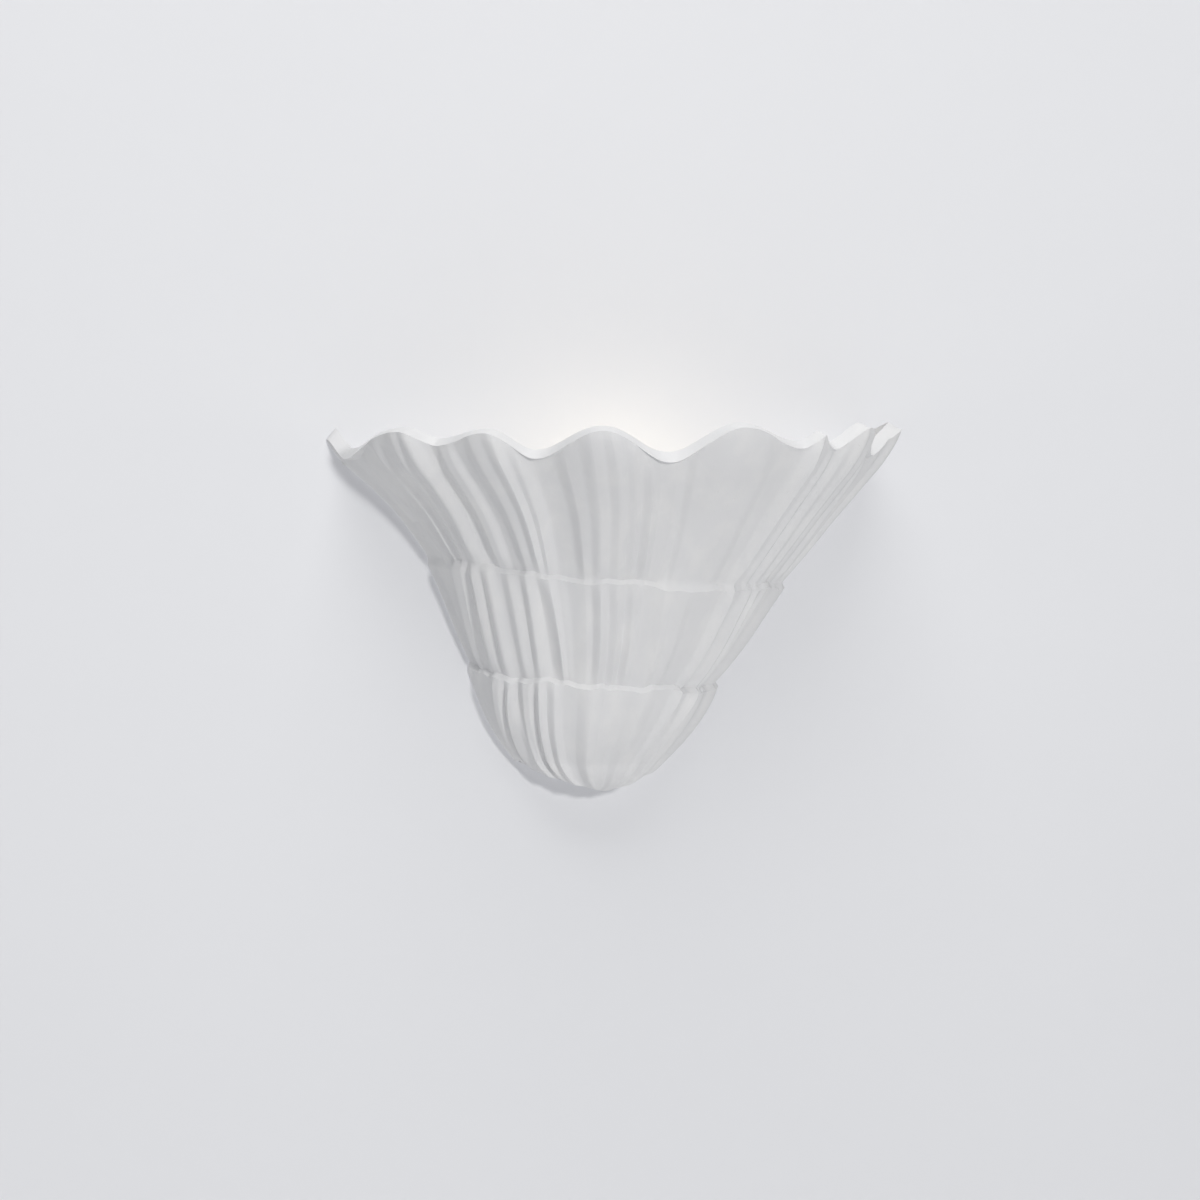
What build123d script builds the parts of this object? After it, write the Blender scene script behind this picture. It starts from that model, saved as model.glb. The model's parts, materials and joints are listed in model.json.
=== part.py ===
"""Shell wall sconce: a plaster shell that hangs on a steel wall plate, with one small screw lamp inside.

Millimetres. The wall is the plane y = 0, the room is towards -Y, +Z is up.
The origin is the middle of the wall plate, on the wall.
"""

from build123d import *
import os
from math import cos, hypot, pi, radians, sin, tan

os.makedirs("parts", exist_ok=True)

# ---------------------------------------------------------------- driving dimensions
# the casting
SHELL_WIDTH = 379.0  # across the rim at the wall
SHELL_HEIGHT = 233.5  # from the foot to the highest crest of the rim
DEPTH_RATIO = 0.8  # how far the bowl stands out, to its half width
SHELL_WALL = 7.0
WALL_GAP = 1.0  # between the casting's back edge and the wall
TIER_STEP = 3.0  # how far each lower tier stands proud of the one above
LOBE_SWELL = 6.0  # of the rim's lobes, in plan
LIP_SLOPE = 0.6  # the rim's end face falls outwards by this much, square to the flare
PAD_HEIGHTS = (70.0, -40.0)
PAD_MARGIN = 0.6  # from a pad to the edges of the casting's wall
CAVITY_BACK = 5.0  # how far the cavity's form stands past the wall's plane
RIM_CUT_OUT = 40.0  # how far the rim's cut reaches outside the outer face
RIM_CUT_IN = 60.0  # and inside it
RIM_CUT_HEIGHT = 80.0
RIM_CUT_BACK = 20.0

# the wall plate and its hooks
PLATE_WIDTH = 90.0
PLATE_HEIGHT = 120.0
PLATE_THICKNESS = 2.0
PLATE_CORNER = 6.0
WALL_HOLE_SPACING_X = 76.0
WALL_HOLE_SPACING_Z = 96.0
WALL_HOLE_RADIUS = 2.75
HOOK_X = 22.0
HOOK_WIDTH = 16.0
HOOK_SEAT_Z = 38.0
HOOK_RISE = 9.0  # of the upturned end, above the seat

# the bar that hangs on them
BAR_THICKNESS = 3.0
BAR_HEIGHT = 18.0
BAR_WALL_GAP = 6.0  # room for the screw heads behind the bar
BAR_END_GAP = 8.0  # from the bar's end to the casting
BAR_CORNER = 3.0
BAR_CHAMFER = 0.4
LUG_HEIGHT = 30.0
LUG_DEPTH = 20.0
LUG_MARGIN = 5.5  # from an insert to the lug's inner face
INSERT_RELIEF = 4.0  # how much deeper the lugs' holes are than the inserts
SCREW_PITCH = 16.0  # between the two screws at each end of the bar

# the cable's way in
CABLE_HOLE_RADIUS = 5.0
GROMMET_Z = 18.0
GROMMET_WALL = 3.0
GROMMET_FLANGE_WIDTH = 2.5
GROMMET_FLANGE = 2.2  # how thick the flange is

# the lamp and its bracket
LAMP_Y = -50.0
SHELF_TOP_Z = -44.0
BRACKET_THICKNESS = 2.0
BRACKET_LEG_RISE = 8.5  # of the leg, above its studs
BRACKET_LEG_MARGIN = 5.0  # from a stud to the leg's end
ARM_HALF = 12.0
NECK_START = 3.0  # from the leg's face to where the shelf begins to narrow
NECK_END = 16.0  # and to where it has its arm's width
LEAD_SLOT = (20.0, 8.0)
LEAD_SLOT_Y = -11.5
BULB_RADIUS = 22.5
BULB_LENGTH = 78.0
LAMP_THREAD_RADIUS = 6.9
LAMP_THREAD_GAP = 0.15  # radial, in the thread shell
NIPPLE_RADIUS = 5.0
NIPPLE_BORE_RADIUS = 3.5
NIPPLE_LENGTH = 14.0
NIPPLE_NUT_HEIGHT = 3.0
NIPPLE_NUT_WALL = 2.0
STAR_WASHER_WIDTH = 3.5
STAR_TEETH = 12
STAR_NOTCH = (2.4, 1.6)
NIPPLE_END_GAP = 0.5  # how far the nipple stands up inside the lampholder
HOLDER_RADIUS = 14.5
HOLDER_WALL = 1.5
HOLDER_CHAMFER = 2.0
HOLDER_COLLAR = 4.0  # height of the body's foot, which has the cap's radius
HOLDER_STEP = 1.5  # how much narrower the body is above it
HOLDER_NOSE = 4.0  # the bevel at the body's mouth
LINER_GAP = 0.4  # between the body and the thread shell
CAP_FLOOR = 3.5
CAP_HEIGHT = 16.0
HOLDER_HEIGHT = 42.0
THREAD_SHELL_LENGTH = 19.8
THREAD_SHELL_WALL = 0.5
SPIGOT_LENGTH = 5.0  # of the body, inside the cap
INSERT_DISC = 3.2  # how thick the contact insert's disc is
CHEEK_DEPTH = 6.0  # of the cheeks below it, which hold the terminals
CHEEK_WALL = 1.5
TERMINAL_HALF_DEPTH = 3.0
TERMINAL_INNER_X = 0.7
TERMINAL_OUTER_X = 5.5
TONGUE_HEIGHT = 4.8  # from the insert to the lamp's contact
TONGUE_THICKNESS = 0.4
TONGUE_WIDTH = 4.0
TONGUE_BEND = 0.8
TONGUE_REACH = 4.0  # of the tongue's fold, from the lamp's axis
TONGUE_TIP = 2.0  # half the length of the flat under the lamp

# the lamp
BUTTON_RADIUS = 2.3
BUTTON_HEIGHT = 1.0
BUTTON_BEVEL = (0.8, 0.5)
CAP_BEVEL = 1.0  # at the foot of the lamp's cap
INSULATOR_HEIGHT = 3.0
BULB_CAP_LENGTH = 19.0
BULB_CAP_WALL = 0.4
GLASS_WALL = 1.0
NECK_DEPTH = 6.0  # of the glass neck, in the cap
SHOULDER_ANGLE = 42.0  # below the ball's equator, where the neck runs into it

# the wiring
LEAD_RADIUS = 1.0
LEAD_SPACING = 4.4  # between the two leads in the nipple
LEAD_LOOP_DROP = 22.0  # how far the leads hang below the nipple
LEAD_DIP = 8.5  # from the block's foot to a lead's first corner
LEAD_IN_BLOCK = 4.5
BLOCK_Z = -16.0
BLOCK_HEIGHT = 17.0
BLOCK_DEPTH = 14.0
BLOCK_MARGIN = 3.0
BLOCK_CHAMFER = 1.5
BLOCK_SCREW_SEAT = 6.0  # from the plate to the heads of the block's screws
BLOCK_SCREW_HEAD_RADIUS = 1.9
POLE_PITCH = 10.0
TUBE_RADIUS = 2.4
TUBE_BORE_RADIUS = 1.5
TUBE_END_GAP = 1.0  # from the tubes' ends to the block's
TUBE_DEPTH = 7.0  # of the tubes' axis, from the block's foot
EARTH_X = 32.0
EARTH_Z = -12.0
BRACKET_STUD_X = 17.0
BRACKET_STUD_Z = -36.5

# screws, studs, nuts and washers: the thread's radius, then the sizes that go with it
M3 = 1.5
M4 = 2.0
PAN_HEAD_RADIUS = 4.0
PAN_HEAD_HEIGHT = 2.3
INSERT_RADIUS = 3.5
INSERT_LENGTH = 10.0
INSERT_GROOVE_WIDTH = 1.2
INSERT_GROOVE_DEPTH = 0.5
SCREW_END_GAP = 1.0  # from a screw's end to its insert's
WASHER_OVERHANG = 0.5
M4_WASHER_RADIUS = 4.5
M4_NUT_HEIGHT = 3.2
M4_NUT_HALF = 3.5
M3_WASHER_RADIUS = 3.0
M3_NUT_HEIGHT = 2.4
M3_NUT_HALF = 2.75
WASHER_THICKNESS = 0.8
THIN_WASHER = 0.5
STUD_HEAD_RADIUS = 2.8
STUD_HEAD_DEPTH = 1.0
EARTH_STUD_LENGTH = 9.0
BRACKET_STUD_LENGTH = 7.9
CLAMP_RADIUS = 1.25  # the terminals' clamping screws
CLAMP_HEAD_RADIUS = 1.7
CLAMP_HEAD_HEIGHT = 1.6
CLAMP_HEAD_GAP = 0.4  # under the clamping screws' heads
CLAMP_SLOT_WIDTH = 0.5
CLAMP_SLOT_DEPTH = 0.9
CLAMP_END_GAP = 4.0  # from the clamping screws' axes to the block's ends
RING_THICKNESS = 0.8  # the crimped earth terminal
RING_WIDTH = 2.2
BARREL_RADIUS = 1.9
BARREL_LENGTH = 6.0
BARREL_DROP = 4.0  # from the earth stud to the barrel

# clearances
SEAT_GAP = 0.3  # where one moving body rests on another
PRESSED = 0.05  # radial, pressed or glued pieces
THREADED = 0.1  # radial, threaded pieces
LOOSE = 0.3  # radial, a screw through a plain hole
HEAD_GAP = 0.2  # radial, a screw's head in its well
SLIDING = 0.2  # radial, one moulding in another


# ---------------------------------------------------------------- the casting's form
def between(table, key):
    """The value in a table of (key, value) pairs, in straight runs between its entries."""
    if key <= table[0][0]:
        return table[0][1]
    for (k0, v0), (k1, v1) in zip(table, table[1:]):
        if key <= k1:
            return v0 + (v1 - v0) * (key - k0) / (k1 - k0)
    return table[-1][1]


def wave_between(table, angle):
    """The same, in half cosine waves, for crests and valleys."""
    for (a0, v0), (a1, v1) in zip(table, table[1:]):
        if angle <= a1:
            return v0 + (v1 - v0) * (1 - cos(pi * (angle - a0) / (a1 - a0))) / 2
    return table[-1][1]


# The rim's crests and valleys, by angle round the bowl: 0 is the wall on the left, 180 on the right.
LOBE_ANGLES = [0, 13, 29, 37, 48, 59, 70, 82, 96, 112, 128, 142, 156, 168, 180]
RIM_HEIGHTS = [84, 76, 87.5, 79.5, 88, 73, 88.5, 71.5, 92, 78, 91, 75, 87, 77, 82]
LOBES = [(0, 0)] + [(a, 1 if i % 2 else -1) for i, a in enumerate(LOBE_ANGLES[1:-1])] + [(180, 0)]

# Height of each station, the bowl's half width there, how far it leans to the right, and its tilt.
FOOT_TIER = [
    (-139, 14, -22, 0.0),
    (-134, 33, -20, 0.0),
    (-126, 46, -17.5, -0.01),
    (-113, 56.5, -15, -0.03),
    (-97, 69, -13, -0.05),
    (-81, 81, -11, -0.07),
    (-65, 91, -9.5, -0.08),
]
MIDDLE_TIER = [
    (-65, 91 - TIER_STEP, -9.5, -0.08),
    (-44, 100, -6, -0.075),
    (-20, 113, -3, -0.068),
    (3, 126.5, 0, -0.06),
]
RIM_TIER = [
    (3, 126.5 - TIER_STEP, 0, -0.06),
    (19, 136, 1, -0.05),
    (36, 150, 2, -0.035),
    (53, 166, 2, -0.02),
    (68, 180, 1.5, -0.005),
    (84, 189.5, 0, 0.0),
    (104, 196, -1, 0.0),
]
LOWEST_Z = FOOT_TIER[0][0]
CREST_Z = 94.5
FLOOR_STATION = (-128, 43, -18, 0.0)
SCALE_X = SHELL_WIDTH / (2 * 189.5)
SCALE_Z = SHELL_HEIGHT / (CREST_Z - LOWEST_Z)
SWELL = [(LOWEST_Z, 0.1), (-65, 0.4), (3, 0.65), (84, 1.0)]


def half_width_at(z):
    """The bowl's half width at a height, and its lean."""
    stations = FOOT_TIER[:-1] + MIDDLE_TIER[:-1] + RIM_TIER
    half = between([(s[0], s[1]) for s in stations], z / SCALE_Z)
    lean = between([(s[0], s[2]) for s in stations], z / SCALE_Z)
    return half * SCALE_X, lean * SCALE_X


def outline_point(station, angle, inset=0.0):
    """A point of the bowl's outline in plan, set in from the outer face by inset."""
    z, half, lean, _ = station
    a, t = half * SCALE_X, radians(angle)
    b = a * DEPTH_RATIO
    out_x, out_y = -cos(t) * b, -sin(t) * a
    size = hypot(out_x, out_y)
    swell = LOBE_SWELL * between(SWELL, z) * wave_between(LOBES, angle) - inset
    x = lean * SCALE_X - a * cos(t) + swell * out_x / size
    y = -b * sin(t) + swell * out_y / size
    return x, y


def fine_angles():
    """The lobes' crests and valleys, and the point halfway between each two."""
    halves = [(a + b) / 2 for a, b in zip(LOBE_ANGLES, LOBE_ANGLES[1:])]
    return sorted(LOBE_ANGLES + halves)


def bowl_section(station, inset=0.0, back=-WALL_GAP):
    """One D-shaped section: the fluted front, closed by a straight line along the wall."""
    z, _, _, tilt = station
    plane = Plane(origin=(0, 0, z * SCALE_Z), x_dir=(1, 0, tilt), z_dir=(-tilt, 0, 1))
    stretch = hypot(1, tilt)
    front = [outline_point(station, a, inset) for a in fine_angles()]
    front = [(x * stretch, y - WALL_GAP) for x, y in front]
    with BuildSketch(plane) as section:
        with BuildLine():
            Spline(*front)
            if back == -WALL_GAP:
                Line(front[-1], front[0])
            else:
                Polyline(front[-1], (front[-1][0], back), (front[0][0], back), front[0])
        make_face()
    return section.sketch


def rim_curve(offset):
    """A curve along the rim, moved out from the outer face by offset, on the rim's end face."""
    station = (84, 189.5, 0, 0.0)
    rim = list(zip(LOBE_ANGLES, RIM_HEIGHTS))
    points = []
    for angle in fine_angles():
        x, y = outline_point(station, angle, -offset)
        z = wave_between(rim, angle) * SCALE_Z - LIP_SLOPE * offset
        points.append((x, y - WALL_GAP, z))
    past_left = (points[0][0], RIM_CUT_BACK, points[0][2])
    past_right = (points[-1][0], RIM_CUT_BACK, points[-1][2])
    return Spline(past_left, *points, past_right)


# ---------------------------------------------------------------- places worked out from the above
bar_back_y = -BAR_WALL_GAP
bar_front_y = bar_back_y - BAR_THICKNESS
bar_bottom_z = HOOK_SEAT_Z + SEAT_GAP
bar_middle_z = bar_bottom_z + BAR_HEIGHT / 2
half_at_bar, lean_at_bar = half_width_at(bar_bottom_z)
bar_half = half_at_bar - abs(lean_at_bar) - SHELL_WALL - LOBE_SWELL / 2 - BAR_END_GAP
outer_screw_x = bar_half - 2 * PAN_HEAD_RADIUS
inner_screw_x = outer_screw_x - SCREW_PITCH
bar_screws = [(side * x, bar_middle_z) for side in (-1, 1) for x in (inner_screw_x, outer_screw_x)]
lug_inner_x = inner_screw_x - INSERT_RADIUS - LUG_MARGIN

plate_front_y = -PLATE_THICKNESS
hook_inner_y = bar_front_y - SEAT_GAP
hook_outer_y = hook_inner_y - PLATE_THICKNESS
hook_window = HOOK_RISE - hook_outer_y

tube_y = plate_front_y - TUBE_DEPTH
block_front_y = plate_front_y - BLOCK_DEPTH
block_bottom_z = BLOCK_Z - BLOCK_HEIGHT / 2
clamp_z = BLOCK_HEIGHT / 2 - CLAMP_END_GAP  # of the clamping screws, from the block's middle

shelf_bottom_z = SHELF_TOP_Z - BRACKET_THICKNESS
cap_floor_z = SHELF_TOP_Z + CAP_FLOOR
cap_top_z = SHELF_TOP_Z + CAP_HEIGHT
holder_top_z = SHELF_TOP_Z + HOLDER_HEIGHT
insert_top_z = cap_top_z + INSERT_DISC
nipple_top_z = cap_floor_z + NIPPLE_END_GAP
nipple_bottom_z = nipple_top_z - NIPPLE_LENGTH
thread_bore_radius = LAMP_THREAD_RADIUS + LAMP_THREAD_GAP
contact_z = insert_top_z + TONGUE_HEIGHT  # the underside of the lamp's contact
lamp_axis = Axis((0, LAMP_Y, 0), (0, 0, 1))
lamp_section = Plane(origin=(0, LAMP_Y, 0), x_dir=(1, 0, 0), z_dir=(0, -1, 0))


def screws(places, seat_y, towards, radius, length, head_radius, head_height, slot=True):
    """Screws along Y at places in the wall's plane. towards is 1 for heads on the room's side."""
    seat = Plane.XZ.offset(-seat_y)
    with BuildPart() as group:
        with BuildSketch(seat):
            with Locations(*places):
                Circle(head_radius)
        extrude(amount=towards * head_height)
        with BuildSketch(seat):
            with Locations(*places):
                Circle(radius)
        extrude(amount=-towards * length)
        with BuildSketch(seat.offset(towards * head_height)):
            with Locations(*places):
                if slot:
                    Rectangle(2.4 * head_radius, 0.3 * head_radius)
                else:
                    RegularPolygon(0.36 * head_radius, 6)
        extrude(amount=-towards * head_height * 0.55, mode=Mode.SUBTRACT)
    return group.part


def discs(places, back_y, thickness, radius, hole_radius, sides=0):
    """Washers, or hexagon nuts where sides is 6, stacked on the room's side of back_y."""
    with BuildPart() as group:
        with BuildSketch(Plane.XZ.offset(-back_y)):
            with Locations(*places):
                if sides:
                    RegularPolygon(radius, sides, major_radius=False)
                else:
                    Circle(radius)
                Circle(hole_radius, mode=Mode.SUBTRACT)
        extrude(amount=thickness)
    return group.part


def edge_middle(side, z):
    """The middle of the casting's back edge at a height, on the left (-1) or the right (1)."""
    tilts = [(s[0], s[3]) for s in FOOT_TIER[:-1] + MIDDLE_TIER[:-1] + RIM_TIER]
    half, lean = half_width_at(z)
    rise = between(tilts, z / SCALE_Z) * (lean + side * half)
    half, lean = half_width_at(z - rise)
    return lean + side * (half - SHELL_WALL / 2), z


# ---------------------------------------------------------------- shell
with BuildPart() as cavity:
    inner_stations = [FLOOR_STATION] + FOOT_TIER[3:-1] + MIDDLE_TIER[:-1] + RIM_TIER
    loft([bowl_section(s, inset=SHELL_WALL, back=CAVITY_BACK) for s in inner_stations])
    for side in (-1, 1):
        with Locations((side * lug_inner_x, bar_front_y, bar_middle_z)):
            Box(
                SHELL_WIDTH,
                LUG_DEPTH,
                LUG_HEIGHT,
                align=(Align.MIN if side > 0 else Align.MAX, Align.MAX, Align.CENTER),
                mode=Mode.SUBTRACT,
            )

with BuildPart() as rim_waste:
    add(Face.make_surface_from_curves(rim_curve(RIM_CUT_OUT), rim_curve(-RIM_CUT_IN)))
    extrude(amount=RIM_CUT_HEIGHT, dir=(0, 0, 1))

with BuildPart() as shell:
    for tier in (FOOT_TIER, MIDDLE_TIER, RIM_TIER):
        loft([bowl_section(s) for s in tier])
    add(cavity.part, mode=Mode.SUBTRACT)
    add(rim_waste.part, mode=Mode.SUBTRACT)
    with BuildSketch(Plane.XZ.offset(-bar_front_y)):
        with Locations(*bar_screws):
            Circle(INSERT_RADIUS + PRESSED)
    extrude(amount=INSERT_LENGTH + INSERT_RELIEF, mode=Mode.SUBTRACT)
shell.part.label = "shell"
export_step(shell.part, "parts/shell.step")

# ---------------------------------------------------------------- felt pads
with BuildPart() as felt_pads:
    with BuildSketch(Plane.XZ):
        with Locations(*[edge_middle(side, z) for side in (-1, 1) for z in PAD_HEIGHTS]):
            Circle(SHELL_WALL / 2 - PAD_MARGIN)
    extrude(amount=WALL_GAP)
felt_pads.part.label = "felt_pads"
export_step(felt_pads.part, "parts/felt_pads.step")

# ---------------------------------------------------------------- hanger bar and its fixings
with BuildPart() as hanger_bar:
    with BuildSketch(Plane.XZ.offset(-bar_back_y)):
        with Locations((0, bar_middle_z)):
            RectangleRounded(2 * bar_half, BAR_HEIGHT, BAR_CORNER)
        with Locations(*bar_screws):
            Circle(M4 + LOOSE, mode=Mode.SUBTRACT)
    extrude(amount=BAR_THICKNESS)
    chamfer(hanger_bar.edges().filter_by(Axis.X), length=BAR_CHAMFER)
hanger_bar.part.label = "hanger_bar"
export_step(hanger_bar.part, "parts/hanger_bar.step")

with BuildPart() as threaded_inserts:
    add(discs(bar_screws, bar_front_y, INSERT_LENGTH, INSERT_RADIUS, M4 + THREADED))
    with BuildSketch(Plane.XZ.offset(-bar_front_y + (INSERT_LENGTH - INSERT_GROOVE_WIDTH) / 2)):
        with Locations(*bar_screws):
            Circle(INSERT_RADIUS)
            Circle(INSERT_RADIUS - INSERT_GROOVE_DEPTH, mode=Mode.SUBTRACT)
    extrude(amount=INSERT_GROOVE_WIDTH, mode=Mode.SUBTRACT)
threaded_inserts.part.label = "threaded_inserts"
export_step(threaded_inserts.part, "parts/threaded_inserts.step")

with BuildPart() as hanger_washers:
    hanger_washer_radius = PAN_HEAD_RADIUS + WASHER_OVERHANG
    add(discs(bar_screws, bar_back_y, -WASHER_THICKNESS, hanger_washer_radius, M4 + LOOSE))
hanger_washers.part.label = "hanger_washers"
export_step(hanger_washers.part, "parts/hanger_washers.step")

hanger_head_y = bar_back_y + WASHER_THICKNESS
hanger_length = WASHER_THICKNESS + BAR_THICKNESS + INSERT_LENGTH - SCREW_END_GAP
with BuildPart() as hanger_screws:
    add(
        screws(
            bar_screws, hanger_head_y, -1, M4, hanger_length, PAN_HEAD_RADIUS, PAN_HEAD_HEIGHT, slot=False
        )
    )
hanger_screws.part.label = "hanger_screws"
export_step(hanger_screws.part, "parts/hanger_screws.step")

# ---------------------------------------------------------------- wall plate
grommet_radius = CABLE_HOLE_RADIUS + GROMMET_WALL
earth_place = (EARTH_X, EARTH_Z)
bracket_studs_at = [(-BRACKET_STUD_X, BRACKET_STUD_Z), (BRACKET_STUD_X, BRACKET_STUD_Z)]
block_screws_at = [(-POLE_PITCH / 2, BLOCK_Z), (POLE_PITCH / 2, BLOCK_Z)]
with BuildPart() as wall_plate:
    with BuildSketch(Plane.XZ):
        RectangleRounded(PLATE_WIDTH, PLATE_HEIGHT, PLATE_CORNER)
        with GridLocations(WALL_HOLE_SPACING_X, WALL_HOLE_SPACING_Z, 2, 2):
            Circle(WALL_HOLE_RADIUS, mode=Mode.SUBTRACT)
        with Locations((0, GROMMET_Z)):
            Circle(grommet_radius, mode=Mode.SUBTRACT)
        window_z = HOOK_SEAT_Z + hook_window / 2
        with Locations((-HOOK_X, window_z), (HOOK_X, window_z)):
            Rectangle(HOOK_WIDTH, hook_window, mode=Mode.SUBTRACT)
        with Locations(earth_place):
            Circle(M4 + PRESSED, mode=Mode.SUBTRACT)
        with Locations(*bracket_studs_at):
            Circle(M3 + PRESSED, mode=Mode.SUBTRACT)
        with Locations(*block_screws_at):
            Circle(CLAMP_RADIUS + THREADED, mode=Mode.SUBTRACT)
    extrude(amount=PLATE_THICKNESS)
    with BuildSketch(Plane.XZ):
        with Locations(earth_place, *bracket_studs_at):
            Circle(STUD_HEAD_RADIUS + PRESSED)
    extrude(amount=STUD_HEAD_DEPTH + PRESSED, mode=Mode.SUBTRACT)
    for side in (-1, 1):
        with BuildSketch(Plane.YZ.offset(side * HOOK_X)) as hook:
            with BuildLine():
                under = HOOK_SEAT_Z - PLATE_THICKNESS
                tip = HOOK_SEAT_Z + HOOK_RISE
                Polyline(
                    (0, under),
                    (hook_outer_y, under),
                    (hook_outer_y, tip),
                    (hook_inner_y, tip),
                    (hook_inner_y, HOOK_SEAT_Z),
                    (0, HOOK_SEAT_Z),
                    close=True,
                )
            make_face()
            outer_corner = hook.vertices().group_by(Axis.X)[0].sort_by(Axis.Y)[0]
            fillet(outer_corner, radius=PLATE_THICKNESS)
        extrude(amount=HOOK_WIDTH / 2, both=True)
wall_plate.part.label = "wall_plate"
export_step(wall_plate.part, "parts/wall_plate.step")

# ---------------------------------------------------------------- cable grommet
with BuildPart() as cable_grommet:
    with BuildSketch(Plane.XZ):
        with Locations((0, GROMMET_Z)):
            Circle(grommet_radius - PRESSED)
            Circle(CABLE_HOLE_RADIUS, mode=Mode.SUBTRACT)
    extrude(amount=PLATE_THICKNESS)
    with BuildSketch(Plane.XZ.offset(PLATE_THICKNESS)):
        with Locations((0, GROMMET_Z)):
            Circle(grommet_radius + GROMMET_FLANGE_WIDTH)
            Circle(CABLE_HOLE_RADIUS, mode=Mode.SUBTRACT)
    extrude(amount=GROMMET_FLANGE)
    rim_edges = cable_grommet.edges().filter_by(GeomType.CIRCLE).group_by(Axis.Y)[0]
    fillet(rim_edges.sort_by(SortBy.RADIUS)[-1], radius=1.0)
cable_grommet.part.label = "cable_grommet"
export_step(cable_grommet.part, "parts/cable_grommet.step")

# ---------------------------------------------------------------- terminal block
block_width = 3 * POLE_PITCH + BLOCK_MARGIN
poles = (-POLE_PITCH, 0.0, POLE_PITCH)
clamps_at = [(x, BLOCK_Z + end * clamp_z) for x in poles for end in (-1, 1)]
with BuildPart() as terminal_block:
    with BuildSketch(Plane.XZ.offset(PLATE_THICKNESS)):
        with Locations((0, BLOCK_Z)):
            Rectangle(block_width, BLOCK_HEIGHT)
    extrude(amount=BLOCK_DEPTH)
    chamfer(terminal_block.faces().sort_by(Axis.Y)[0].edges().filter_by(Axis.X), length=BLOCK_CHAMFER)
    with BuildSketch(Plane.XY.offset(block_bottom_z)):
        with Locations(*[(x, tube_y) for x in poles]):
            Circle(TUBE_RADIUS + PRESSED)
    extrude(amount=BLOCK_HEIGHT, mode=Mode.SUBTRACT)
    with BuildSketch(Plane.XZ.offset(-block_front_y)):
        with Locations(*clamps_at):
            Circle(CLAMP_HEAD_RADIUS + HEAD_GAP)
    extrude(amount=block_front_y - tube_y, mode=Mode.SUBTRACT)
    with BuildSketch(Plane.XZ.offset(-block_front_y)):
        with Locations(*block_screws_at):
            Circle(BLOCK_SCREW_HEAD_RADIUS + HEAD_GAP)
    extrude(amount=BLOCK_SCREW_SEAT - BLOCK_DEPTH, mode=Mode.SUBTRACT)
    with BuildSketch(Plane.XZ.offset(-block_front_y)):
        with Locations(*block_screws_at):
            Circle(CLAMP_RADIUS + LOOSE)
    extrude(amount=-BLOCK_DEPTH, mode=Mode.SUBTRACT)
terminal_block.part.label = "terminal_block"
export_step(terminal_block.part, "parts/terminal_block.step")

with BuildPart() as terminal_tubes:
    with BuildSketch(Plane.XY.offset(block_bottom_z + TUBE_END_GAP)):
        with Locations(*[(x, tube_y) for x in poles]):
            Circle(TUBE_RADIUS)
            Circle(TUBE_BORE_RADIUS, mode=Mode.SUBTRACT)
    extrude(amount=BLOCK_HEIGHT - 2 * TUBE_END_GAP)
    with BuildSketch(Plane.XZ.offset(-tube_y)):
        with Locations(*clamps_at):
            Circle(CLAMP_RADIUS + THREADED)
    extrude(amount=TUBE_RADIUS + 1, mode=Mode.SUBTRACT)
terminal_tubes.part.label = "terminal_tubes"
export_step(terminal_tubes.part, "parts/terminal_tubes.step")

clamp_seat_y = tube_y - TUBE_RADIUS - CLAMP_HEAD_GAP - 1.0
clamp_length = tube_y - LEAD_RADIUS - THREADED - clamp_seat_y
with BuildPart() as terminal_screws:
    add(
        screws(
            clamps_at, clamp_seat_y, 1, CLAMP_RADIUS, clamp_length, CLAMP_HEAD_RADIUS, CLAMP_HEAD_HEIGHT
        )
    )
terminal_screws.part.label = "terminal_screws"
export_step(terminal_screws.part, "parts/terminal_screws.step")

with BuildPart() as block_screws:
    add(
        screws(
            block_screws_at,
            plate_front_y - BLOCK_SCREW_SEAT,
            1,
            CLAMP_RADIUS,
            BLOCK_SCREW_SEAT + PLATE_THICKNESS,
            BLOCK_SCREW_HEAD_RADIUS,
            CLAMP_HEAD_HEIGHT,
        )
    )
block_screws.part.label = "block_screws"
export_step(block_screws.part, "parts/block_screws.step")


# ---------------------------------------------------------------- studs, nuts and the earth terminal
def studs(places, radius, length):
    """Studs pressed into the plate from behind, with their heads flush in it."""
    with BuildPart() as group:
        with BuildSketch(Plane.XZ):
            with Locations(*places):
                Circle(STUD_HEAD_RADIUS)
        extrude(amount=STUD_HEAD_DEPTH)
        with BuildSketch(Plane.XZ):
            with Locations(*places):
                Circle(radius)
        extrude(amount=length)
    return group.part


washer_front_y = plate_front_y - WASHER_THICKNESS
ring_front_y = washer_front_y - RING_THICKNESS
barrel_y = washer_front_y - BARREL_RADIUS
barrel_top_z = EARTH_Z - M4 - BARREL_DROP
barrel_bottom_z = barrel_top_z - BARREL_LENGTH

with BuildPart() as earth_stud:
    add(studs([earth_place], M4, EARTH_STUD_LENGTH))
earth_stud.part.label = "earth_stud"
export_step(earth_stud.part, "parts/earth_stud.step")

with BuildPart() as earth_washer:
    add(discs([earth_place], plate_front_y, WASHER_THICKNESS, M4_WASHER_RADIUS, M4 + LOOSE))
earth_washer.part.label = "earth_washer"
export_step(earth_washer.part, "parts/earth_washer.step")

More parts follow.
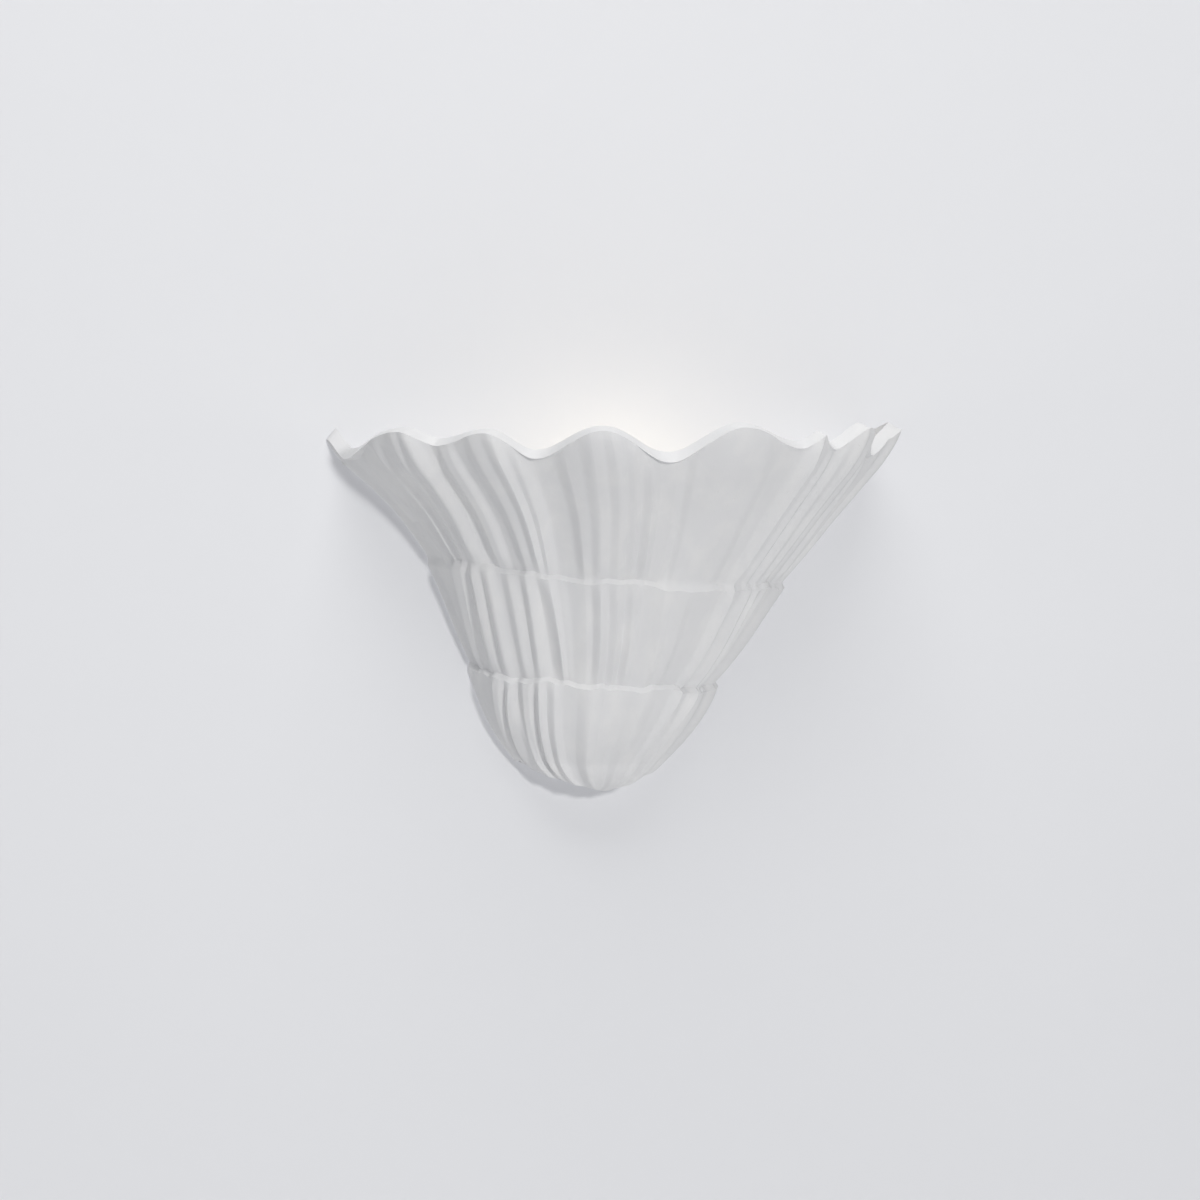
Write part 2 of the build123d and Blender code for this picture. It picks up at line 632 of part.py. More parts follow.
with BuildPart() as ring_terminal:
    with BuildSketch(Plane.XZ.offset(-washer_front_y)):
        with Locations(earth_place):
            Circle(M4 + RING_WIDTH)
        with Locations((EARTH_X, (EARTH_Z + barrel_top_z) / 2 - 0.5)):
            Rectangle(2 * BARREL_RADIUS, EARTH_Z - barrel_top_z + 1)
        with Locations(earth_place):
            Circle(M4 + LOOSE, mode=Mode.SUBTRACT)
    extrude(amount=RING_THICKNESS)
    with BuildSketch(Plane.XY.offset(barrel_bottom_z)):
        with Locations((EARTH_X, barrel_y)):
            Circle(BARREL_RADIUS)
    extrude(amount=BARREL_LENGTH)
    with BuildSketch(Plane.XY.offset(barrel_bottom_z)):
        with Locations((EARTH_X, barrel_y)):
            Circle(LEAD_RADIUS + THREADED)
    extrude(amount=BARREL_LENGTH, mode=Mode.SUBTRACT)
ring_terminal.part.label = "ring_terminal"
export_step(ring_terminal.part, "parts/ring_terminal.step")

with BuildPart() as earth_nut:
    add(discs([earth_place], ring_front_y, M4_NUT_HEIGHT, M4_NUT_HALF, M4 + THREADED, sides=6))
earth_nut.part.label = "earth_nut"
export_step(earth_nut.part, "parts/earth_nut.step")

leg_front_y = plate_front_y - BRACKET_THICKNESS
with BuildPart() as bracket_studs:
    add(studs(bracket_studs_at, M3, BRACKET_STUD_LENGTH))
bracket_studs.part.label = "bracket_studs"
export_step(bracket_studs.part, "parts/bracket_studs.step")

with BuildPart() as bracket_washers:
    add(discs(bracket_studs_at, leg_front_y, THIN_WASHER, M3_WASHER_RADIUS, M3 + LOOSE))
bracket_washers.part.label = "bracket_washers"
export_step(bracket_washers.part, "parts/bracket_washers.step")

with BuildPart() as bracket_nuts:
    nut_back_y = leg_front_y - THIN_WASHER
    add(discs(bracket_studs_at, nut_back_y, M3_NUT_HEIGHT, M3_NUT_HALF, M3 + THREADED, sides=6))
bracket_nuts.part.label = "bracket_nuts"
export_step(bracket_nuts.part, "parts/bracket_nuts.step")

# ---------------------------------------------------------------- lamp bracket
leg_half = BRACKET_STUD_X + BRACKET_LEG_MARGIN
neck_start_y = leg_front_y - NECK_START
neck_end_y = leg_front_y - NECK_END
with BuildPart() as lamp_bracket:
    with BuildSketch(Plane.XZ.offset(-plate_front_y)):
        leg_top_z = BRACKET_STUD_Z + BRACKET_LEG_RISE
        with Locations((0, (leg_top_z + shelf_bottom_z) / 2)):
            Rectangle(2 * leg_half, leg_top_z - shelf_bottom_z)
        with Locations(*bracket_studs_at):
            Circle(M3 + LOOSE, mode=Mode.SUBTRACT)
    extrude(amount=BRACKET_THICKNESS)
    with BuildSketch(Plane.XY.offset(shelf_bottom_z)):
        with BuildLine():
            Polyline(
                (-leg_half, plate_front_y),
                (-leg_half, neck_start_y),
                (-ARM_HALF, neck_end_y),
                (-ARM_HALF, LAMP_Y),
                (ARM_HALF, LAMP_Y),
                (ARM_HALF, neck_end_y),
                (leg_half, neck_start_y),
                (leg_half, plate_front_y),
                close=True,
            )
        make_face()
        with Locations((0, LAMP_Y)):
            Circle(ARM_HALF)
            Circle(NIPPLE_RADIUS + THREADED, mode=Mode.SUBTRACT)
        with Locations((0, LEAD_SLOT_Y)):
            SlotOverall(*LEAD_SLOT, mode=Mode.SUBTRACT)
    extrude(amount=BRACKET_THICKNESS)
lamp_bracket.part.label = "lamp_bracket"
export_step(lamp_bracket.part, "parts/lamp_bracket.step")

# ---------------------------------------------------------------- nipple, nut and washer
with BuildPart() as threaded_nipple:
    with BuildSketch(Plane.XY.offset(nipple_bottom_z)):
        with Locations((0, LAMP_Y)):
            Circle(NIPPLE_RADIUS)
            Circle(NIPPLE_BORE_RADIUS, mode=Mode.SUBTRACT)
    extrude(amount=NIPPLE_LENGTH)
threaded_nipple.part.label = "threaded_nipple"
export_step(threaded_nipple.part, "parts/threaded_nipple.step")

with BuildPart() as star_washer:
    with BuildSketch(Plane.XY.offset(shelf_bottom_z - WASHER_THICKNESS)):
        with Locations((0, LAMP_Y)):
            Circle(NIPPLE_RADIUS + STAR_WASHER_WIDTH)
            Circle(NIPPLE_RADIUS + LOOSE, mode=Mode.SUBTRACT)
            with PolarLocations(NIPPLE_RADIUS + STAR_WASHER_WIDTH - LOOSE, STAR_TEETH):
                Rectangle(*STAR_NOTCH, mode=Mode.SUBTRACT)
    extrude(amount=WASHER_THICKNESS)
star_washer.part.label = "star_washer"
export_step(star_washer.part, "parts/star_washer.step")

with BuildPart() as nipple_nut:
    with BuildSketch(Plane.XY.offset(shelf_bottom_z - WASHER_THICKNESS - NIPPLE_NUT_HEIGHT)):
        with Locations((0, LAMP_Y)):
            RegularPolygon(NIPPLE_RADIUS + NIPPLE_NUT_WALL, 6, major_radius=False)
            Circle(NIPPLE_RADIUS + THREADED, mode=Mode.SUBTRACT)
    extrude(amount=NIPPLE_NUT_HEIGHT)
nipple_nut.part.label = "nipple_nut"
export_step(nipple_nut.part, "parts/nipple_nut.step")


# ---------------------------------------------------------------- lampholder
def turned(*points):
    """A piece turned about the lamp's axis, from (radius, height) points of half its section."""
    with BuildPart() as piece:
        with BuildSketch(lamp_section):
            with BuildLine():
                Polyline(*points, close=True)
            make_face()
        revolve(axis=lamp_axis)
    return piece.part


cap_bore = HOLDER_RADIUS - HOLDER_WALL
spigot_radius = cap_bore - SLIDING
insert_radius = spigot_radius - HOLDER_WALL - LOOSE
liner_radius = thread_bore_radius + THREAD_SHELL_WALL + LINER_GAP
with BuildPart() as lampholder_cap:
    add(
        turned(
            (NIPPLE_RADIUS + THREADED, SHELF_TOP_Z),
            (HOLDER_RADIUS - HOLDER_CHAMFER, SHELF_TOP_Z),
            (HOLDER_RADIUS, SHELF_TOP_Z + HOLDER_CHAMFER),
            (HOLDER_RADIUS, cap_top_z),
            (cap_bore, cap_top_z),
            (cap_bore, cap_floor_z),
            (NIPPLE_RADIUS + THREADED, cap_floor_z),
        )
    )
lampholder_cap.part.label = "lampholder_cap"
export_step(lampholder_cap.part, "parts/lampholder_cap.step")

with BuildPart() as lampholder_body:
    add(
        turned(
            (spigot_radius, cap_top_z - SPIGOT_LENGTH),
            (spigot_radius, cap_top_z),
            (HOLDER_RADIUS, cap_top_z),
            (HOLDER_RADIUS, cap_top_z + HOLDER_COLLAR),
            (HOLDER_RADIUS - HOLDER_STEP, cap_top_z + HOLDER_COLLAR + HOLDER_STEP),
            (HOLDER_RADIUS - HOLDER_STEP, holder_top_z - HOLDER_NOSE),
            (HOLDER_RADIUS - HOLDER_NOSE, holder_top_z),
            (liner_radius, holder_top_z),
            (liner_radius, insert_top_z),
            (insert_radius + LOOSE, insert_top_z),
            (insert_radius + LOOSE, cap_top_z - SPIGOT_LENGTH),
        )
    )
lampholder_body.part.label = "lampholder_body"
export_step(lampholder_body.part, "parts/lampholder_body.step")

with BuildPart() as contact_insert:
    with BuildSketch(Plane.XY.offset(cap_top_z)):
        with Locations((0, LAMP_Y)):
            Circle(insert_radius)
    extrude(amount=insert_top_z - cap_top_z)
    with BuildSketch(Plane.XY.offset(cap_top_z - CHEEK_DEPTH)):
        with Locations((0, LAMP_Y)):
            cheek_half_x = TERMINAL_OUTER_X + CHEEK_WALL
            cheek_half_y = TERMINAL_HALF_DEPTH + CHEEK_WALL
            Rectangle(2 * cheek_half_x, 2 * cheek_half_y)
            Rectangle(3 * cheek_half_x, 2 * (TERMINAL_HALF_DEPTH + SLIDING), mode=Mode.SUBTRACT)
            Rectangle(2 * (TERMINAL_INNER_X - SLIDING), 2 * cheek_half_y)
    extrude(amount=CHEEK_DEPTH)
contact_insert.part.label = "contact_insert"
export_step(contact_insert.part, "parts/contact_insert.step")

terminal_middle_x = (TERMINAL_INNER_X + TERMINAL_OUTER_X) / 2
terminal_middle_z = cap_top_z - CHEEK_DEPTH / 2
with BuildPart() as lampholder_terminals:
    with BuildSketch(Plane.XY.offset(cap_top_z - CHEEK_DEPTH)):
        with Locations((-terminal_middle_x, LAMP_Y), (terminal_middle_x, LAMP_Y)):
            Rectangle(TERMINAL_OUTER_X - TERMINAL_INNER_X, 2 * TERMINAL_HALF_DEPTH)
        with Locations((-LEAD_SPACING / 2, LAMP_Y), (LEAD_SPACING / 2, LAMP_Y)):
            Circle(LEAD_RADIUS + THREADED, mode=Mode.SUBTRACT)
    extrude(amount=CHEEK_DEPTH)
    with BuildSketch(Plane.YZ):
        with Locations((LAMP_Y, terminal_middle_z)):
            Circle(CLAMP_RADIUS + THREADED)
    extrude(amount=TERMINAL_OUTER_X + 1, both=True, mode=Mode.SUBTRACT)
lampholder_terminals.part.label = "lampholder_terminals"
export_step(lampholder_terminals.part, "parts/lampholder_terminals.step")

clamp_tip_x = LEAD_SPACING / 2 + LEAD_RADIUS + THREADED
clamp_head_x = TERMINAL_OUTER_X + CLAMP_HEAD_GAP
with BuildPart() as lampholder_screws:
    for side in (-1, 1):
        side_plane = Plane(origin=(side * clamp_tip_x, LAMP_Y, terminal_middle_z), z_dir=(side, 0, 0))
        with BuildSketch(side_plane):
            Circle(CLAMP_RADIUS)
        extrude(amount=clamp_head_x - clamp_tip_x)
        with BuildSketch(side_plane.offset(clamp_head_x - clamp_tip_x)):
            Circle(CLAMP_HEAD_RADIUS)
        extrude(amount=CLAMP_HEAD_HEIGHT)
        with BuildSketch(side_plane.offset(clamp_head_x - clamp_tip_x + CLAMP_HEAD_HEIGHT)):
            Rectangle(CLAMP_SLOT_WIDTH, 3 * CLAMP_HEAD_RADIUS)
        extrude(amount=-CLAMP_SLOT_DEPTH, mode=Mode.SUBTRACT)
lampholder_screws.part.label = "lampholder_screws"
export_step(lampholder_screws.part, "parts/lampholder_screws.step")

with BuildPart() as thread_shell:
    with BuildSketch(Plane.XY.offset(insert_top_z)):
        with Locations((0, LAMP_Y)):
            Circle(thread_bore_radius + THREAD_SHELL_WALL)
            Circle(thread_bore_radius, mode=Mode.SUBTRACT)
    extrude(amount=THREAD_SHELL_LENGTH)
thread_shell.part.label = "thread_shell"
export_step(thread_shell.part, "parts/thread_shell.step")

tongue_low_z = insert_top_z + TONGUE_THICKNESS / 2
tongue_high_z = contact_z - SEAT_GAP - TONGUE_THICKNESS / 2
with BuildPart() as centre_contact:
    with BuildLine() as tongue:
        FilletPolyline(
            (-TONGUE_REACH - 0.5, LAMP_Y, tongue_low_z),
            (TONGUE_REACH, LAMP_Y, tongue_low_z),
            (-TONGUE_TIP, LAMP_Y, tongue_high_z),
            (TONGUE_TIP, LAMP_Y, tongue_high_z),
            radius=TONGUE_BEND,
        )
    with BuildSketch(Plane(origin=tongue.line @ 0, z_dir=tongue.line % 0)):
        Rectangle(TONGUE_THICKNESS, TONGUE_WIDTH)
    sweep(path=tongue.line)
centre_contact.part.label = "centre_contact"
export_step(centre_contact.part, "parts/centre_contact.step")

# ---------------------------------------------------------------- the lamp
neck_radius = LAMP_THREAD_RADIUS - BULB_CAP_WALL - SLIDING
cap_bottom_z = contact_z + BUTTON_HEIGHT + INSULATOR_HEIGHT
bulb_cap_top_z = cap_bottom_z + BULB_CAP_LENGTH
bulb_middle_z = contact_z + BULB_LENGTH - BULB_RADIUS

with BuildPart() as bulb_contact:
    add(
        turned(
            (0, contact_z),
            (BUTTON_RADIUS - BUTTON_BEVEL[0], contact_z),
            (BUTTON_RADIUS, contact_z + BUTTON_BEVEL[1]),
            (BUTTON_RADIUS, contact_z + BUTTON_HEIGHT),
            (0, contact_z + BUTTON_HEIGHT),
        )
    )
bulb_contact.part.label = "bulb_contact"
export_step(bulb_contact.part, "parts/bulb_contact.step")

with BuildPart() as bulb_insulator:
    add(
        turned(
            (0, contact_z + BUTTON_HEIGHT),
            (BUTTON_RADIUS + 0.4, contact_z + BUTTON_HEIGHT),
            (LAMP_THREAD_RADIUS - CAP_BEVEL, cap_bottom_z - 0.8),
            (LAMP_THREAD_RADIUS - CAP_BEVEL, cap_bottom_z),
            (0, cap_bottom_z),
        )
    )
bulb_insulator.part.label = "bulb_insulator"
export_step(bulb_insulator.part, "parts/bulb_insulator.step")

with BuildPart() as bulb_cap:
    add(
        turned(
            (0, cap_bottom_z),
            (LAMP_THREAD_RADIUS - CAP_BEVEL, cap_bottom_z),
            (LAMP_THREAD_RADIUS, cap_bottom_z + CAP_BEVEL),
            (LAMP_THREAD_RADIUS, bulb_cap_top_z),
            (LAMP_THREAD_RADIUS - BULB_CAP_WALL, bulb_cap_top_z),
            (LAMP_THREAD_RADIUS - BULB_CAP_WALL, cap_bottom_z + CAP_BEVEL + 0.2),
            (LAMP_THREAD_RADIUS - CAP_BEVEL - 0.2, cap_bottom_z + BULB_CAP_WALL),
            (0, cap_bottom_z + BULB_CAP_WALL),
        )
    )
bulb_cap.part.label = "bulb_cap"
export_step(bulb_cap.part, "parts/bulb_cap.step")

with BuildPart() as bulb_glass:
    with BuildSketch(lamp_section):
        with BuildLine():
            shoulder_x = BULB_RADIUS * cos(radians(SHOULDER_ANGLE))
            shoulder_z = bulb_middle_z - BULB_RADIUS * sin(radians(SHOULDER_ANGLE))
            Line((0, bulb_cap_top_z - NECK_DEPTH), (neck_radius, bulb_cap_top_z - NECK_DEPTH))
            neck = Line((neck_radius, bulb_cap_top_z - NECK_DEPTH), (neck_radius, bulb_cap_top_z + 1))
            Spline(
                neck @ 1,
                (shoulder_x, shoulder_z),
                tangents=(
                    (0, 1),
                    (sin(radians(SHOULDER_ANGLE)), cos(radians(SHOULDER_ANGLE))),
                ),
            )
            CenterArc((0, bulb_middle_z), BULB_RADIUS, -SHOULDER_ANGLE, 90 + SHOULDER_ANGLE)
            Line((0, bulb_middle_z + BULB_RADIUS), (0, bulb_cap_top_z - NECK_DEPTH))
        make_face()
    revolve(axis=lamp_axis)
    with Locations((0, LAMP_Y, bulb_middle_z)):
        Sphere(BULB_RADIUS - GLASS_WALL, mode=Mode.SUBTRACT)
    with Locations((0, LAMP_Y, bulb_cap_top_z - NECK_DEPTH)):
        Cylinder(
            neck_radius - GLASS_WALL,
            bulb_middle_z - bulb_cap_top_z,
            align=(Align.CENTER, Align.CENTER, Align.MIN),
            mode=Mode.SUBTRACT,
        )
bulb_glass.part.label = "bulb_glass"
export_step(bulb_glass.part, "parts/bulb_glass.step")


# ---------------------------------------------------------------- leads
def lead(route, name):
    """An insulated lead: straight runs joined by arcs as large as the runs allow."""
    radii = []
    for before, corner, after in zip(route, route[1:], route[2:]):
        incoming, outgoing = Vector(corner) - Vector(before), Vector(after) - Vector(corner)
        half_turn = radians(incoming.get_angle(outgoing)) / 2
        radii.append(0.45 * min(incoming.length, outgoing.length) / tan(half_turn))
    with BuildPart() as tube:
        with BuildLine() as path:
            FilletPolyline(*route, radius=radii)
        with BuildSketch(Plane(origin=path.line @ 0, z_dir=path.line % 0)):
            Circle(LEAD_RADIUS)
        sweep(path=path.line)
    length = path.wire().length
    print(name, "radii", [round(r, 1) for r in radii], "length", round(length, 1))
    ratio = tube.part.volume / (pi * LEAD_RADIUS**2 * length)
    print(name, "volume to section times length", round(ratio, 4))
    return tube.part


def lamp_lead_route(side, pole_x):
    """From a pole of the block down through the slot, round below the bracket and up the nipple."""
    nipple_x = side * LEAD_SPACING / 2
    loop_z = nipple_bottom_z - LEAD_LOOP_DROP
    return [
        (pole_x, tube_y, block_bottom_z + LEAD_IN_BLOCK),
        (pole_x, tube_y - 0.5, block_bottom_z - LEAD_DIP),
        (nipple_x, tube_y - 4, nipple_bottom_z - 4),
        (nipple_x, tube_y - 12, loop_z),
        (nipple_x, LAMP_Y + 8, loop_z - 1),
        (nipple_x, LAMP_Y, nipple_bottom_z - 8),
        (nipple_x, LAMP_Y, cap_top_z - 2),
    ]


with BuildPart() as live_lead:
    add(lead(lamp_lead_route(-1, poles[0]), "live_lead"))
live_lead.part.label = "live_lead"
export_step(live_lead.part, "parts/live_lead.step")

with BuildPart() as neutral_lead:
    add(lead(lamp_lead_route(1, poles[1]), "neutral_lead"))
neutral_lead.part.label = "neutral_lead"
export_step(neutral_lead.part, "parts/neutral_lead.step")

earth_span = EARTH_X - poles[2]
earth_side = earth_span / (1 + 2**0.5)  # the loop is half an octagon
earth_loop_z = block_bottom_z - LEAD_DIP
earth_low_z = earth_loop_z - earth_side / 2**0.5
earth_route = [
    (poles[2], tube_y, block_bottom_z + LEAD_IN_BLOCK),
    (poles[2], tube_y - 0.5, earth_loop_z),
    (poles[2] + earth_side / 2**0.5, tube_y - 0.8, earth_low_z),
    (EARTH_X - earth_side / 2**0.5, tube_y - 0.8, earth_low_z),
    (EARTH_X, tube_y + 1.5, earth_loop_z - 0.5),
    (EARTH_X, barrel_y, barrel_bottom_z - 3),
    (EARTH_X, barrel_y, barrel_top_z - 1.5),
]
with BuildPart() as earth_lead:
    add(lead(earth_route, "earth_lead"))
earth_lead.part.label = "earth_lead"
export_step(earth_lead.part, "parts/earth_lead.step")
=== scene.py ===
# %% [markdown]
# # A plaster shell wall light
# The light is a fluted plaster bowl in three tiers that hangs on a steel plate, with one small screw
# lamp inside. The first cell loads the construction, which is already at its real size.

# %% Load the construction
import json
import math
import random

import bpy
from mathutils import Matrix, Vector


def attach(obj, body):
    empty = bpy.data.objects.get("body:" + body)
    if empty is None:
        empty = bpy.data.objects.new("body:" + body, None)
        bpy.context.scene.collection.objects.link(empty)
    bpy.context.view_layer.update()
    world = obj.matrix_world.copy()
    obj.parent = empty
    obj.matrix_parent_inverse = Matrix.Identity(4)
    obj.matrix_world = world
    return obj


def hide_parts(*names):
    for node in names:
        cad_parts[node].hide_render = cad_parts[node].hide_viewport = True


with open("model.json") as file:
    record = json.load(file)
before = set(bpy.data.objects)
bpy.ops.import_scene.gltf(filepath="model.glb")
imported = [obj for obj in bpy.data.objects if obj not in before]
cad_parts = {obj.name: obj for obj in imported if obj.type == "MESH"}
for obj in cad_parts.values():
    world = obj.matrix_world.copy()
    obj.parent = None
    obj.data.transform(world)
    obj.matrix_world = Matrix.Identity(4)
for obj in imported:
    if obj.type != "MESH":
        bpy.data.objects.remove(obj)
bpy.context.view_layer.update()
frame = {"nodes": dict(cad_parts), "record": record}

MM = 0.001
nodes = frame["nodes"]

# %% [markdown]
# ## The camera
# The photograph was taken from a little left of the light's middle and a little above it, from about
# two metres. A long lens keeps the bowl's proportions calm. The camera comes first, so that every
# later choice can be judged in its view.

# %% The camera
CAMERA_AZIMUTH = -22.0
CAMERA_ELEVATION = 4.0
CAMERA_DISTANCE = 1.905
CAMERA_TARGET = Vector((-0.0085, 0.0, -0.020))
LENS = 90.0


def direction(azimuth, elevation):
    """The direction from the light to somebody who stands at that azimuth and elevation, in degrees."""
    a, e = math.radians(azimuth), math.radians(elevation)
    return Vector((math.sin(a) * math.cos(e), -math.cos(a) * math.cos(e), math.sin(e)))


def aim(thing, azimuth, elevation, distance, target):
    """Puts a camera or a lamp at that distance from the target, and turns it to look there."""
    thing.location = target + distance * direction(azimuth, elevation)
    thing.rotation_euler = (target - thing.location).to_track_quat("-Z", "Y").to_euler()


bpy.ops.object.camera_add()
camera = bpy.context.object
camera.data.lens = LENS
aim(camera, CAMERA_AZIMUTH, CAMERA_ELEVATION, CAMERA_DISTANCE, CAMERA_TARGET)
bpy.context.scene.camera = camera
print("camera at", [round(v, 3) for v in camera.location])

# %% [markdown]
# ## Shader maths as expressions
# A finish is a small tree of nodes. Written out node by node it is long and hard to read, so one
# class wraps a socket and gives it the usual operators: `1 - mask * 0.3` then builds its own Math
# nodes.


# %% A socket that takes part in expressions
class Value:
    """An output socket. An operator on it adds a Math node and gives that node's output."""

    def __init__(self, tree, socket):
        self.tree = tree
        self.socket = socket

    def math(self, operation, first, second=None):
        node = self.tree.nodes.new("ShaderNodeMath")
        node.operation = operation
        for socket, value in zip(node.inputs, (first, second)):
            if isinstance(value, Value):
                self.tree.links.new(value.socket, socket)
            elif value is not None:
                socket.default_value = value
        return Value(self.tree, node.outputs[0])

    def __add__(self, other):
        return self.math("ADD", self, other)

    def __mul__(self, other):
        return self.math("MULTIPLY", self, other)

    def __sub__(self, other):
        return self.math("SUBTRACT", self, other)

    def __rsub__(self, other):
        return self.math("SUBTRACT", other, self)

    def __pow__(self, other):
        return self.math("POWER", self, other)

    def above(self, edge, width):
        """0 below the edge, 1 above it, with a soft step of that width."""
        return ((self - (edge - width / 2)) * (1 / width)).clamped()

    def clamped(self):
        clipped = self.math("ADD", self, 0.0)
        clipped.socket.node.use_clamp = True
        return clipped

    __radd__ = __add__
    __rmul__ = __mul__


# %% [markdown]
# ## A tree of nodes, and a material
# Every material here is made the same way: give the shader's sockets plain values, then replace a few
# of them with something that varies over the surface. `Nodes` feeds sockets and adds nodes in any
# tree, so the pale room at the end uses it too. `Finish` is the tree of one material, and adds the
# three things that nearly every finish needs: noise, a mix of two colours, and a bump.


# %% Node trees and materials
class Nodes:
    """A tree of nodes, with one way to feed a socket and one way to add a node."""

    def __init__(self, tree):
        self.tree = tree

    def feed(self, node, name, value):
        """Links a value to a socket, or sets the socket to a colour or a number."""
        socket = next(s for s in node.inputs if name in (s.identifier, s.name))
        if isinstance(value, Value):
            self.tree.links.new(value.socket, socket)
        elif isinstance(value, tuple) and len(value) == 3 and socket.type == "RGBA":
            socket.default_value = (*value, 1.0)
        else:
            socket.default_value = value

    def node(self, kind, settings, sockets, output):
        """Any node: its settings are made first, then its sockets get their values or links."""
        node = self.tree.nodes.new("ShaderNode" + kind)
        for key, value in settings.items():
            setattr(node, key, value)
        for name, value in sockets.items():
            self.feed(node, name, value)
        found = next(s for s in node.outputs if output in (s.identifier, s.name))
        return Value(self.tree, found)


class Finish(Nodes):
    """One material: its tree, its shader, and the object's own coordinates."""

    def __init__(self, name, color, roughness, **uniform):
        self.material = bpy.data.materials.new(name)
        self.material.use_nodes = True
        super().__init__(self.material.node_tree)
        self.shader = self.tree.nodes["Principled BSDF"]
        self.place = self.node("TexCoord", {}, {}, "Object")
        self.feed(self.shader, "Base Color", color)
        self.feed(self.shader, "Roughness", roughness)
        for socket, value in uniform.items():
            self.feed(self.shader, socket.replace("_", " "), value)

    def noise(self, size, detail=2.0, stretch=(1.0, 1.0, 1.0)):
        """Noise from 0 to 1, with lumps of about that size in millimetres."""
        sockets = {"Vector": self.place, "Scale": stretch}
        place = self.node("Mapping", {}, sockets, "Vector")
        scale = 1.0 / (size * MM)
        return self.node("TexNoise", {}, {"Vector": place, "Scale": scale, "Detail": detail}, "Fac")

    def mix(self, factor, low, high):
        """One colour where the factor is 0, the other where it is 1."""
        sockets = {"Factor_Float": factor, "A_Color": low, "B_Color": high}
        return self.node("Mix", {"data_type": "RGBA"}, sockets, "Result_Color")

    def bump(self, height, depth, strength=1.0):
        """Lets a height from 0 to 1 stand out by depth millimetres."""
        sockets = {"Height": height, "Distance": depth * MM, "Strength": strength}
        self.feed(self.shader, "Normal", self.node("Bump", {}, sockets, "Normal"))


def finish_piece(piece, finish):
    """Gives every material slot of a piece the same finish."""
    if not piece.data.materials:
        piece.data.materials.append(finish.material)
    for index in range(len(piece.data.materials)):
        piece.data.materials[index] = finish.material


# %% [markdown]
# ## Plaster
# The casting is plain gypsum plaster, dry and unpainted: nearly white, with no gloss at all. What
# makes it plaster and not plastic is small: clouds of slightly warmer and greyer white, a skin that
# is smooth in some places and open in others, and a few pinholes where air bubbles broke.

# %% Plaster
PLASTER = (0.74, 0.74, 0.748)
PLASTER_GREY = (0.765, 0.765, 0.775)
PLASTER_WARM = (0.83, 0.825, 0.815)


def make_plaster():
    plaster = Finish("plaster", PLASTER, 0.9, Specular_IOR_Level=0.25)
    clouds = plaster.noise(46, 3)
    smears = plaster.noise(14, 4, (1.0, 1.0, 0.35))
    grey = plaster.mix(clouds.above(0.58, 0.35) * 0.55, PLASTER, PLASTER_GREY)
    warm = plaster.mix(smears.above(0.60, 0.30) * 0.45, grey, PLASTER_WARM)
    plaster.feed(plaster.shader, "Base Color", warm)
    plaster.feed(plaster.shader, "Roughness", 0.82 + clouds * 0.16)
    grain = plaster.noise(0.9, 3)
    waves = plaster.noise(7, 2)
    pits = plaster.noise(2.6, 1).above(0.74, 0.04)
    plaster.bump(grain * 0.22 + waves * 0.6 - pits * 0.35, 0.22)
    return plaster


plaster = make_plaster()
print("plaster has", len(plaster.tree.nodes), "nodes")

# %% [markdown]
# ## Metals
# Zinc-plated steel, turned brass, and the tin on crimps and contacts are the same kind of finish:
# metal whose colour drifts a little and whose roughness follows fine marks from rolling or turning.
# One function with a colour, a roughness and the direction of the marks makes them all.


# %% Metals
def make_metal(name, color, tarnish, roughness, marks=(1.0, 1.0, 1.0)):
    metal = Finish(name, color, roughness, Metallic=1.0)
    drift = metal.noise(9, 3)
    scratches = metal.noise(0.5, 3, marks)
    metal.feed(metal.shader, "Base Color", metal.mix(drift.above(0.55, 0.4), color, tarnish))
    metal.feed(metal.shader, "Roughness", roughness - 0.08 + drift * 0.10 + scratches * 0.10)
    metal.bump(scratches, 0.02)
    return metal


zinc = make_metal("zinc_steel", (0.62, 0.63, 0.64), (0.50, 0.52, 0.54), 0.38, (0.08, 1.0, 1.0))
brass = make_metal("brass", (0.72, 0.52, 0.22), (0.52, 0.36, 0.15), 0.32, (1.0, 1.0, 0.2))
tin = make_metal("tinned_copper", (0.70, 0.69, 0.66), (0.52, 0.51, 0.49), 0.42)
lamp_metal = make_metal("cap_metal", (0.75, 0.75, 0.74), (0.62, 0.62, 0.61), 0.30, (1.0, 1.0, 0.1))
print("four metals")

# %% [markdown]
# ## Mouldings, rubber, sleeves and felt
# The lampholder and the terminal block are moulded, so they have a faint orange-peel skin. Rubber is
# darker and duller. The earth lead's sleeve is green with a yellow stripe down one side, which the
# direction of its surface gives without any unwrapping.


# %% Mouldings, rubber and sleeves
def make_moulded(name, color, roughness, peel=0.05):
    moulded = Finish(name, color, roughness, Specular_IOR_Level=0.5)
    cloud = moulded.noise(8, 2)
    darker = tuple(0.88 * channel for channel in color)
    moulded.feed(moulded.shader, "Base Color", moulded.mix(cloud.above(0.5, 0.5), color, darker))
    moulded.feed(moulded.shader, "Roughness", roughness - 0.06 + cloud * 0.12)
    moulded.bump(moulded.noise(0.8, 2), peel)
    return moulded


def make_striped_sleeve(name, color, stripe_color):
    sleeve = make_moulded(name, color, 0.45)
    facing = sleeve.node("TexCoord", {}, {}, "Normal")
    across = sleeve.node("SeparateXYZ", {}, {"Vector": facing}, "X")
    striped = sleeve.mix(across.above(0.25, 0.10), color, stripe_color)
    sleeve.feed(sleeve.shader, "Base Color", striped)
    return sleeve


